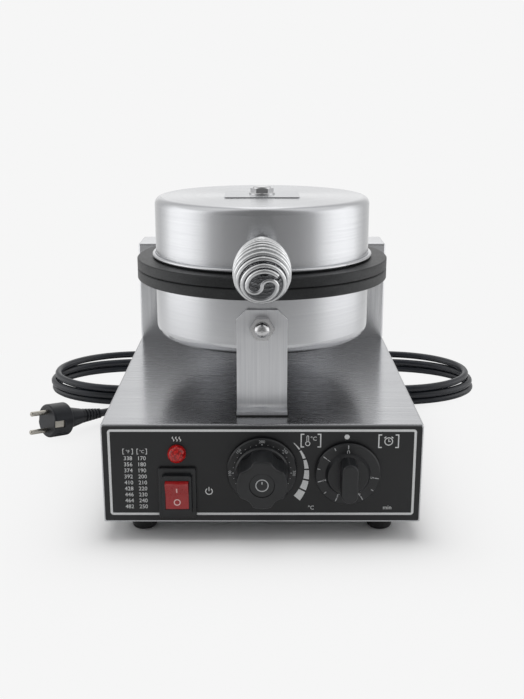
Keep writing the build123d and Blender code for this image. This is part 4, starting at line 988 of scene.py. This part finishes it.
@dataclass
class MainsCord:
    """Round three-core mains lead, 8 mm, from the gland at the back to a coil of three loose turns
    on the table and out to its plug at the left."""

    radius: float = 4.0
    length: float = 3.67  # metres, in one line
    straight: float = 120.0  # half of the straight part of a long run
    ends: float = 150.0  # where the round ends start, to both sides
    cut_short: float = 0.966  # how far the smooth line reaches of a round end's control points
    climb: Pair = (60.0, -60.0)  # X in a front run, from and to which the cord changes level
    plug: tuple[str, ...] = ("plug_body", "plug_pins", "plug_earth_contacts")
    inlet: tuple = (
        (70.0, 344.4, -50.0),
        (70.0, 362.4, -50.0),
        (61.0, 381.0, -53.5),
        (42.0, 392.0, -58.5),
        (18.0, 392.0, -63.5),
        (-5.0, 380.0, -67.5),
        (-28.0, 365.0, -71.0),
        (-53.0, 352.0, -74.0),
        (-78.0, 343.0, -76.4),
        (-100.0, 332.5, -76.7),
    )
    # Each turn: front and back Y of its long runs, left and right X of its ends, and Z.
    turns: tuple = (
        (326.5, 470.0, -241.5, 241.0, -76.5),
        (327.5, 462.0, -245.9, 245.2, -84.5),
        (330.5, 461.7, -245.4, 246.8, -92.5),
    )
    lead: tuple = (
        (60.0, 320.0, -92.5),
        (0.0, 316.4, -92.5),
        (-60.0, 316.0, -92.5),
        (-104.6, 316.2, -92.5),
        (-118.4, 315.6, -92.5),
        (-132.1, 312.7, -91.9),
        (-144.0, 305.3, -90.5),
        (-153.0, 294.6, -88.6),
        (-159.6, 282.2, -86.6),
        (-166.3, 272.3, -85.1),
        (-172.8, 266.0, -84.1),
    )

    def turn_points(self, k: int) -> np.ndarray:
        """Control points of one turn, from the left end round the back to the front's right side.

        The ends are half ellipses, their control points pushed out so that the smooth line keeps
        the size; the long runs are straight.

        Args:
            k: Number of the turn.

        Returns:
            The points, in the working frame.
        """
        front, back, left, right, z = self.turns[k]
        middle, half = (front + back) / 2, (back - front) / 2
        angle = np.radians(np.arange(15.0, 180.0, 30.0))
        out, along = np.sin(angle) / self.cut_short, half * np.cos(angle) / self.cut_short
        run = np.linspace(-self.straight, self.straight, 5)
        flat = np.vstack(
            (
                (-self.straight, front),
                np.c_[(left + self.ends) * out - self.ends, middle - along],
                np.c_[run, np.full(len(run), back)],
                np.c_[(right - self.ends) * out + self.ends, middle + along],
                (self.straight, front),
            )
        )
        return np.c_[flat, np.full(len(flat), z)]

    def route(self) -> np.ndarray:
        """Control points of the whole cord; each level change lies in a front run.

        Returns:
            The points, in the working frame.
        """
        parts = [self.inlet, self.turn_points(0)]
        for k in range(1, len(self.turns)):
            (here, *_, z), (there, *_, next_z) = self.turns[k - 1 : k + 1]
            start, end = self.climb
            halfway = ((start + end) / 2, (here + there) / 2, (z + next_z) / 2)
            parts += [[(start, here, z), halfway, (end, there, next_z)], self.turn_points(k)]
        return np.vstack([*parts, self.lead])

    def build(self, finishes: Finishes) -> None:
        """Args:
            finishes: The materials.
        """
        points = to_row(self.route())
        curve = bpy.data.curves.new("mains_cord", "CURVE")
        curve.dimensions = "3D"
        spline = curve.splines.new("NURBS")
        spline.points.add(len(points) - 1)
        spline.points.foreach_set("co", np.c_[points, np.ones(len(points))].ravel())
        spline.order_u = 3
        spline.use_endpoint_u = True
        spline.resolution_u = 8
        curve.bevel_depth = self.radius / 1000.0
        curve.bevel_resolution = 4
        curve.use_fill_caps = True
        curve.materials.append(finishes.get(PVC))
        cord = bpy.data.objects.new("mains_cord", curve)
        bpy.context.scene.collection.objects.link(cord)
        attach(cord, "base")
        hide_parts("cord_inlet", "cord_coil", "cord_lead")
        log.info("mains_cord: %d control points", len(points))


@dataclass
class Fascia:
    """The printed marks of the control fascia and of the rocker."""

    frame_half_w: float = 118.4
    frame_top: float = -4.7
    frame_bottom: float = -74.4
    frame_round: float = 1.6
    frame_line: float = 1.9
    gap: Pair = (-80.6, -51.6)  # the frame's lower line is left out here
    table_rows: int = 9
    table_top: float = -27.5
    table_pitch: float = 5.07
    table_columns: Pair = (-104.0, -93.1)
    unit_rise: float = 5.6  # of the units over the first row
    unit: float = 2.6  # height of the units, as the next two of other characters
    digit: float = 3.2
    caption: float = 3.4
    first_celsius: int = 170
    wedge_start: float = 47.5  # degrees from the top
    wedge_step: float = 14.3
    wedge_width: float = 12.0
    wedge_count: int = 6
    wedge_inner: float = 33.0
    wedge_outer: Pair = (33.4, 39.4)
    thermometer: Pair = (37.75, -12.9)
    bulb: Pair = (35.3, -15.4)
    clock: Pair = (97.8, -13.6)
    index: Pair = (65.6, -9.9)
    power: Pair = (-41.5, -55.2)
    heat_z: float = -13.4  # foot of the heat waves, over the lamp
    captions_z: float = -69.0

    def frame_line_marks(self, marks: Print) -> None:
        """The white line round the fascia, open at the switch.

        Args:
            marks: The print that takes it.
        """
        half_h = (self.frame_top - self.frame_bottom) / 2
        middle = (self.frame_top + self.frame_bottom) / 2
        loop = rounded_loop(self.frame_half_w, half_h, self.frame_round)[1:-1] + (0.0, middle)
        left, right = ((x, self.frame_bottom) for x in self.gap)
        marks.line(np.vstack((right, loop, left)), self.frame_line)

    def table(self, marks: Print) -> None:
        """Plain conversion table of degrees, with a unit over each column.

        Args:
            marks: The print that takes it.
        """
        for column, unit in zip(self.table_columns, ("°F", "°C")):
            place = (column, self.table_top + self.unit_rise)
            marks.word(unit, place, self.unit)
            marks.brackets(place, 7.6, 4.2, 1.0, 0.45)
        for row in range(self.table_rows):
            celsius = self.first_celsius + 10 * row
            z = self.table_top - row * self.table_pitch
            for column, number in zip(self.table_columns, (round(celsius * 1.8 + 32), celsius)):
                marks.word(str(number), (column, z), self.digit)

    def wedge(self, marks: Print) -> None:
        """Segments beside the dial that widen downwards, as a measure of heat.

        The outer radius grows in proportion to the angle from the first segment's start.

        Args:
            marks: The print that takes it.
        """
        total = (self.wedge_count - 1) * self.wedge_step + self.wedge_width
        low, high = self.wedge_outer
        for k in range(self.wedge_count):
            start = k * self.wedge_step
            past = np.linspace(start, start + self.wedge_width, 8)
            outer = low + (high - low) * past / total
            angle = np.radians(past + self.wedge_start)
            ray = np.stack((np.sin(angle), np.cos(angle)), axis=-1)
            inside = ray * self.wedge_inner + TEMPERATURE_XZ
            marks.band(inside, ray * outer[:, None] + TEMPERATURE_XZ)

    def symbols(self, marks: Print) -> None:
        """Plain symbols: thermometer, clock, power, heat waves, and the timer's index dot.

        A heat wave is one turn of a sine along its height.

        Args:
            marks: The print that takes them.
        """
        marks.brackets(self.thermometer, 15.1, 10.4)
        marks.ring(self.bulb, 1.7, 0.6)
        tube = np.array([(-0.7, 1.5), (-0.7, 6.0), (0.0, 6.6), (0.7, 6.0), (0.7, 1.5)])
        marks.line(tube + self.bulb, 0.5)
        marks.word("°C", (39.9, -11.2), self.caption)
        marks.brackets((self.clock[0], -13.4), 15.2, 10.3)
        marks.ring(self.clock, 3.0, 0.7)
        marks.line(np.array([(0.0, 1.9), (0.0, 0.0), (1.4, 0.0)]) + self.clock, 0.6)
        for side in (-1, 1):
            marks.line(arc(4.3, side * 28.0, side * 52.0, 6) + self.clock, 0.8)
        marks.dot(self.index, 2.0, 24)
        marks.line(arc(2.6, 35.0, 325.0, 22) + self.power, 0.75)
        marks.line(np.array([(0.0, 3.6), (0.0, 0.2)]) + self.power, 0.75)
        height = np.linspace(0.0, 1.0, 15)
        for x in (SWITCH_X - 2.6, SWITCH_X, SWITCH_X + 2.6):
            wave = np.stack((0.7 * np.sin(tau * height), 3.6 * height), axis=-1)
            marks.line(wave + (x, self.heat_z), 0.6)
        marks.word("°C", (38.5, self.captions_z), self.caption)
        marks.word("min", (98.5, self.captions_z), 3.0)

    def rocker(self, ink: bpy.types.Material) -> None:
        """The line and the ring on the two halves of the rocker, the upper of which leans back.

        Args:
            ink: The printing ink.
        """
        upper = Print((SWITCH_X, -9.86, -50.9), up=(0.0, -0.4073, 0.9133))
        upper.line(np.array([(0.0, -2.3), (0.0, 2.3)]), 0.9)
        upper.finish("rocker_on_mark", "rocker", ink)
        lower = Print((SWITCH_X, -7.55, -61.7))
        lower.ring((0.0, 0.0), 2.3, 0.75)
        lower.finish("rocker_off_mark", "rocker", ink)

    def build(self, finishes: Finishes) -> None:
        """Prints the fascia and the rocker.

        Args:
            finishes: The materials.
        """
        marks = Print((0.0, PANEL_Y, 0.0))
        self.frame_line_marks(marks)
        self.table(marks)
        self.wedge(marks)
        self.symbols(marks)
        marks.finish("fascia_print", "base", finishes.get(WHITE_INK))
        self.rocker(finishes.get(RED_INK))


@dataclass
class Dials:
    """The printed scales of the temperature dial and of the timer knob."""

    face_y: float = -5.2  # of both dials
    cap_y: float = -31.4  # of the temperature knob's cap
    middle_celsius: int = 200
    label_celsius: int = 50  # from number to number
    label_step: float = 46.2  # degrees of turn from number to number
    label_r: float = 24.9
    dot_r: float = 22.5
    timer_step: float = 26.2  # degrees of turn from tick to tick
    timer_ticks: int = 11
    tick_outer: float = 24.2

    def temperature(self, ink: bpy.types.Material) -> None:
        """Numbers from 50 to 350 round the skirt, with three dots between them, and the cap's ring.

        Args:
            ink: The printing ink.
        """
        x, z = TEMPERATURE_XZ
        marks = Print((x, self.face_y, z))
        for k in range(-3, 4):
            number = str(self.middle_celsius + self.label_celsius * k)
            marks.dial_word(number, self.label_r, k * self.label_step, 2.2)
            marks.dot(on_dial(self.dot_r, k * self.label_step), 0.5, 10)
        for k in range(-12, 13):
            if k % 4:
                marks.dot(on_dial(self.dot_r, k * self.label_step / 4), 0.3, 8)
        marks.finish("temperature_scale", "temperature_control", ink)
        ring = Print((x, self.cap_y, z))
        ring.ring((0.0, 0.0), 4.6, 0.7)
        ring.line(np.array([(0.0, 1.0), (0.0, 3.0)]), 0.8)
        ring.finish("knob_cap_ring", "temperature_control", ink)

    def timer(self, ink: bpy.types.Material) -> None:
        """Ticks round the timer knob, every second one long and numbered, growing anticlockwise.

        Args:
            ink: The printing ink.
        """
        x, z = TIMER_XZ
        marks = Print((x, self.face_y, z))
        for k in range(self.timer_ticks):
            angle = -k * self.timer_step
            inner, width = (22.0, 0.6) if k % 2 else (21.0, 0.7)
            ends = (on_dial(inner, angle), on_dial(self.tick_outer, angle))
            marks.line(np.array(ends), width)
            if k == 0:
                marks.dial_word("0", 18.4, angle, 3.6)
            elif k % 2 == 0:
                marks.dial_word(str(k // 2), 19.0, angle, 2.8)
        marks.finish("timer_scale", "timer_control", ink)

    def build(self, finishes: Finishes) -> None:
        """Prints both scales."""
        self.temperature(finishes.get(PAD_INK))
        self.timer(finishes.get(PAD_INK))


def ridge(apart: np.ndarray, half: float) -> np.ndarray:
    """Bell curve over the distance from a rib's middle line, 1 on it."""
    return np.exp(-((apart / half) ** 2))


@dataclass
class BakingRelief:
    """The ornament of both baking faces: a plain traditional star of ribs in the shallow cavity.

    Heights are above the cavity's floor. The ribs are ridges whose section is a bell curve: rings,
    petal outlines between the rings, a rosette in the middle, and a row of beads at the rim.
    """

    radius: float = 94.9
    hole: float = 0.6  # radius of the first circle of points
    floor: float = 0.78  # depth of the cavity's floor below the baking face
    base: float = 0.06  # thickness of the ground between the ribs
    rise: float = 0.5
    rib: float = 0.85  # half width of a rib
    sectors: int = 16
    rings: Triple = (28.0, 56.0, 84.0)
    eye: float = 8.0  # radius of the ring in the middle
    rosette: float = 17.5  # how far the rosette's leaves reach past the eye
    petal: float = 0.42  # half width of a petal, in sectors
    vein: Pair = (0.12, 0.72)  # where a petal's vein starts and stops, as shares of its length
    vein_rib: float = 0.68
    beads_r: float = 89.5
    bead: float = 1.8  # half width of the row of beads
    faces_z: Pair = (101.65, 101.95)  # the lower and the upper baking face
    rows: int = 104
    columns: int = 768

    def height(self, r: np.ndarray, angle: np.ndarray) -> np.ndarray:
        """Height of the relief at polar points, the highest of all ribs there.

        A petal's outline is apart from the sector's middle by a half sine along its length; the
        rosette's radius swings with the cosine of four times the angle.

        Args:
            r: Distance from the middle.
            angle: Angle in radians.

        Returns:
            Height above the cavity's floor.
        """
        inner, mid, outer = self.rings
        ribs = [ridge(r - ring, self.rib) for ring in (*self.rings, self.eye)]
        sector = tau / self.sectors
        first, last = self.vein
        for low, high, shift in ((inner, mid, 0.0), (mid, outer, 0.5)):
            offset = (angle / sector + shift) % 1.0 - 0.5
            along = np.clip((r - low) / (high - low), 0.0, 1.0)
            inside = (r > low) & (r < high)
            petal = self.petal * np.sin(pi * along) ** 0.8
            apart = (np.abs(offset) - petal) * sector * r
            veined = inside & (along < last) & (along > first)
            ribs.append(ridge(apart, self.rib) * inside)
            ribs.append(ridge(offset * sector * r, self.vein_rib) * veined)
        rosette = self.rosette * np.abs(np.cos(4.0 * angle)) ** 0.6 + self.eye
        ribs.append(ridge(r - rosette, self.rib) * (r < inner) * (r > self.eye))
        beads = 0.5 + 0.5 * np.cos(self.sectors * 4 * angle)
        ribs.append(ridge(r - self.beads_r, self.bead) * beads)
        return self.base + self.rise * np.clip(np.max(np.stack(ribs), axis=0), 0.0, 1.0)

    def build(self, finishes: Finishes) -> None:
        """Makes the relief of the lower and of the upper plate.

        Each is a grid of circles with the height above, closed by a rim and a flat back.

        Args:
            finishes: The materials.
        """
        r = np.linspace(self.hole, self.radius, self.rows)
        angle = np.linspace(0.0, tau, self.columns, endpoint=False)
        rr, aa = np.meshgrid(r, angle, indexing="ij")
        top = self.height(rr, aa)
        crests = np.append(np.clip((top - self.base) / self.rise, 0.0, 1.0).ravel(), (0.0, 0.0))
        top[-1] = 0.0
        surface = np.stack((rr * np.cos(aa), rr * np.sin(aa), top), axis=-1).reshape(-1, 3)
        points = np.vstack((surface, [[0.0, 0.0, self.base], [0.0, 0.0, 0.0]]))
        crown, sole = len(surface), len(surface) + 1
        faces = grid_faces(self.rows, self.columns).tolist()
        rim = (self.rows - 1) * self.columns
        ring = [(j, (j + 1) % self.columns) for j in range(self.columns)]
        faces += [[crown, here, beside] for here, beside in ring]
        faces += [[sole, rim + beside, rim + here] for here, beside in ring]
        for name, body, face_z, side in (
            ("lower_plate_relief", "base", self.faces_z[0], 1.0),
            ("upper_plate_relief", "lid", self.faces_z[1], -1.0),
        ):
            placed = points * (1.0, 1.0, side) + (0.0, HEAD_Y, face_z - side * self.floor)
            turned = faces if side > 0 else [face[::-1] for face in faces]
            piece = new_piece(name, placed, turned, finishes.get(RELIEF), body)
            crest = piece.data.attributes.new("crest", "FLOAT", "POINT")
            crest.data.foreach_set("value", crests)


@dataclass
class Studio:
    """Pale floor and backdrop, large soft lamps, and a room for reflections: bright screens at both
    sides and a dim part in front, where the camera stands."""

    backdrop: str = "#F6F6F6"
    paper: str = "#F6F6F6"
    paper_rough: float = 0.7
    fill: float = 0.42
    fade: float = 0.028  # metres beyond the base in which most of the floor's shading fades away
    floor_reach: Pair = (0.6, 0.95)  # metres over which a mirrored floor turns into the room
    floor_half: float = 6.0
    ceiling: float = 0.95  # most that the room reaches overhead
    ceiling_z: Pair = (0.3, 0.5)  # height of a direction, from a free wall to the ceiling
    wall_most: float = 2.0  # above every level of the walls
    strip: float = 1.55  # level of the narrow lamp over the back wall
    strip_z: Pair = (0.36, 0.46)  # the strip's edges by the direction's height,
    strip_y: Pair = (0.3, 0.4)  # to the back,
    strip_x: Pair = (0.09, 0.14)  # and to both sides
    # Level of the room by a direction seen from above, from 0 straight to the front to 1 straight
    # back, in steps of the direction's cosine.
    levels: tuple = (
        (0.0, 0.24),
        (0.1, 0.35),
        (0.19, 0.56),
        (0.3, 1.2),
        (0.4, 1.52),
        (0.52, 1.6),
        (0.66, 1.45),
        (0.76, 0.95),
        (0.85, 0.68),
        (0.95, 0.68),
        (1.0, 0.99),
    )
    # Name and place of each lamp, its side in metres and its power in watts.
    lamps: tuple = (
        ("lamp_above", (0.0, 0.5, 1.7), 1.6, 12.0),
        ("lamp_left", (-1.4, -0.3, 0.9), 1.0, 5.0),
        ("lamp_right", (1.4, -0.3, 0.9), 1.0, 5.0),
    )
    lamps_face: Triple = (0.0, 0.0, 0.12)  # the middle of the object

    def room(self, tree: bpy.types.NodeTree, way: bpy.types.NodeSocket) -> bpy.types.NodeSocket:
        """What a reflection sees in a direction.

        The walls' level follows the direction seen from above, and is held to the ceiling's level
        overhead. The strip lies where the direction is high, to the back and near the middle.

        Args:
            tree: The nodes of the world or of the floor.
            way: The direction, of length 1.

        Returns:
            The level's socket.
        """
        parts = add(tree, "ShaderNodeSeparateXYZ", {0: way}).outputs
        across = {0: way, 1: (1.0, 1.0, 0.0)}
        flat = add(tree, "ShaderNodeVectorMath", across, operation="MULTIPLY").outputs[0]
        plan = add(tree, "ShaderNodeVectorMath", {0: flat}, operation="NORMALIZE").outputs[0]
        ahead = add(tree, "ShaderNodeSeparateXYZ", {0: plan}).outputs["Y"]
        share = {"Value": ahead, "From Min": -1.0, "From Max": 1.0}
        place = add(tree, "ShaderNodeMapRange", share).outputs["Result"]
        ramp = add(tree, "ShaderNodeValToRGB", {0: place})
        elements = ramp.color_ramp.elements
        while len(elements) < len(self.levels):
            elements.new(0.5)
        for element, (position, level) in zip(elements, self.levels):
            element.position = position
            element.color = (level, level, level, 1.0)
        side = add(tree, "ShaderNodeMath", {0: parts["X"]}, operation="ABSOLUTE").outputs[0]
        shares = []
        for value, (low, high), (start, end) in (
            (parts["Z"], self.ceiling_z, (self.wall_most, self.ceiling)),
            (parts["Z"], self.strip_z, (0.0, 1.0)),
            (parts["Y"], self.strip_y, (0.0, 1.0)),
            (side, self.strip_x, (1.0, 0.0)),
        ):
            reach = {"From Min": low, "From Max": high, "To Min": start, "To Max": end}
            share = add(tree, "ShaderNodeMapRange", reach | {"Value": value})
            shares.append(share.outputs["Result"])
        most, above, behind, middle = shares
        lower = {0: ramp.outputs[0], 1: most}
        walls = add(tree, "ShaderNodeMath", lower, operation="MINIMUM").outputs[0]
        strip = add(tree, "ShaderNodeMath", {0: above, 1: behind}, operation="MULTIPLY").outputs[0]
        strip = add(tree, "ShaderNodeMath", {0: strip, 1: middle}, operation="MULTIPLY").outputs[0]
        return add(tree, "ShaderNodeMix", {0: strip, 2: walls, 3: self.strip}).outputs[0]

    def world(self) -> None:
        """Makes the world: backdrop for the camera, the room for reflections, fill for the rest."""
        world = bpy.data.worlds.new("studio")
        bpy.context.scene.world = world
        world.use_nodes = True
        tree = world.node_tree
        tree.nodes.clear()
        room = self.room(tree, add(tree, "ShaderNodeTexCoord").outputs["Generated"])
        path = add(tree, "ShaderNodeLightPath").outputs
        straight = {0: path["Is Camera Ray"], 1: path["Is Transmission Ray"]}
        seen = add(tree, "ShaderNodeMath", straight, operation="MAXIMUM").outputs[0]
        fill = (self.fill, self.fill, self.fill, 1.0)
        tones = {0: path["Is Glossy Ray"], 6: fill, 7: room}
        lit = add(tree, "ShaderNodeMix", tones, data_type="RGBA").outputs[2]
        tones = {0: seen, 6: lit, 7: linear(self.backdrop)}
        colour = add(tree, "ShaderNodeMix", tones, data_type="RGBA").outputs[2]
        background = add(tree, "ShaderNodeBackground", {"Color": colour, "Strength": 1.0})
        add(tree, "ShaderNodeOutputWorld", {"Surface": background.outputs[0]})

    def faded(
        self,
        tree: bpy.types.NodeTree,
        place: bpy.types.NodeSocket,
        camera: bpy.types.NodeSocket,
        mirrored: bpy.types.NodeSocket,
    ) -> bpy.types.NodeSocket:
        """Share of plain backdrop in the floor.

        For the camera it is 1 - exp(-d / fade), d being the way to the base's outline, so that the
        floor is plain a hand's width from the base.

        Args:
            tree: The floor's nodes.
            place: Position on the floor, in metres.
            camera: 1 for rays from the camera.
            mirrored: The share for reflections.

        Returns:
            The share's socket.
        """
        kind = "ShaderNodeVectorMath"
        size = add(tree, kind, {0: place}, operation="ABSOLUTE").outputs[0]
        half = (BASE_HALF_W / 1000.0, MIDDLE_Y / 1000.0, 0.0)
        past = add(tree, kind, {0: size, 1: half}, operation="SUBTRACT").outputs[0]
        outside = add(tree, kind, {0: past}, operation="MAXIMUM").outputs[0]
        way = add(tree, kind, {0: outside}, operation="LENGTH").outputs["Value"]
        kind = "ShaderNodeMath"
        fades = {0: way, 1: -1.0 / self.fade}
        shares = add(tree, kind, fades, operation="MULTIPLY").outputs[0]
        shade = add(tree, kind, {0: shares}, operation="EXPONENT").outputs[0]
        plain = add(tree, kind, {0: 1.0, 1: shade}, operation="SUBTRACT").outputs[0]
        either = {0: plain, 1: camera, 2: mirrored}
        return add(tree, kind, either, operation="MULTIPLY_ADD").outputs[0]

    def floor(self) -> None:
        """Makes the pale floor, which turns into the plain backdrop, or into the room in a
        reflection, away from the object."""
        material, tree = new_material("studio floor, matt paper")
        place = add(tree, "ShaderNodeTexCoord").outputs["Object"]
        path = add(tree, "ShaderNodeLightPath").outputs
        camera, glossy = path["Is Camera Ray"], path["Is Glossy Ray"]
        away = add(tree, "ShaderNodeVectorMath", {0: place}, operation="LENGTH").outputs["Value"]
        near, far = self.floor_reach
        reach = {"Value": away, "From Min": near, "From Max": far}
        part = add(tree, "ShaderNodeMapRange", reach).outputs["Result"]
        both = {0: part, 1: glossy}
        mirrored = add(tree, "ShaderNodeMath", both, operation="MULTIPLY").outputs[0]
        way = add(tree, "ShaderNodeVectorMath", {0: place}, operation="NORMALIZE").outputs[0]
        tones = {0: glossy, 6: linear(self.backdrop), 7: self.room(tree, way)}
        tone = add(tree, "ShaderNodeMix", tones, data_type="RGBA").outputs[2]
        matt = {"Base Color": linear(self.paper), "Roughness": self.paper_rough}
        paper = add(tree, "ShaderNodeBsdfPrincipled", matt).outputs[0]
        plain = add(tree, "ShaderNodeEmission", {"Color": tone, "Strength": 1.0}).outputs[0]
        shaders = {0: self.faded(tree, place, camera, mirrored), 1: paper, 2: plain}
        mixed = add(tree, "ShaderNodeMixShader", shaders)
        add(tree, "ShaderNodeOutputMaterial", {"Surface": mixed.outputs[0]})
        mesh = bpy.data.meshes.new("studio_floor")
        half = self.floor_half
        corners = [(-half, -half, 0), (half, -half, 0), (half, half, 0), (-half, half, 0)]
        mesh.from_pydata(corners, [], [(0, 1, 2, 3)])
        mesh.materials.append(material)
        sheet = bpy.data.objects.new("studio_floor", mesh)
        bpy.context.scene.collection.objects.link(sheet)

    def lamp(self, name: str, place: Triple, size: float, power: float) -> None:
        """Hangs one square soft lamp that faces the middle of the object; reflections show the room
        in its place.

        Args:
            name: The lamp's name.
            place: Where it hangs, in metres.
            size: Its side, in metres.
            power: Its power, in watts.
        """
        data = bpy.data.lights.new(name, "AREA")
        data.shape = "SQUARE"
        data.size = size
        data.energy = power
        lamp = bpy.data.objects.new(name, data)
        lamp.location = place
        lamp.visible_glossy = False
        way = np.array(self.lamps_face) - place
        level = float(np.hypot(way[0], way[1]))
        lean, turn = np.arctan2(level, -way[2]), np.arctan2(way[1], way[0]) - pi / 2
        lamp.rotation_euler = (lean, 0.0, turn)
        bpy.context.scene.collection.objects.link(lamp)

    def build(self) -> None:
        """Makes the world, the floor and the lamps."""
        self.world()
        self.floor()
        for name, place, size, power in self.lamps:
            self.lamp(name, place, size, power)
        bpy.context.scene.view_settings.view_transform = "Standard"


def main() -> None:
    """Builds the camera, the cord, each dressed sub-assembly and the studio, in that order."""
    logging.basicConfig(level=logging.INFO, format="%(message)s")
    finishes = Finishes()
    Camera().build()
    MainsCord().build(finishes)
    finishes.dress_nodes()
    Fascia().build(finishes)
    Dials().build(finishes)
    BakingRelief().build(finishes)
    Studio().build()


if __name__ == "__main__":
    main()
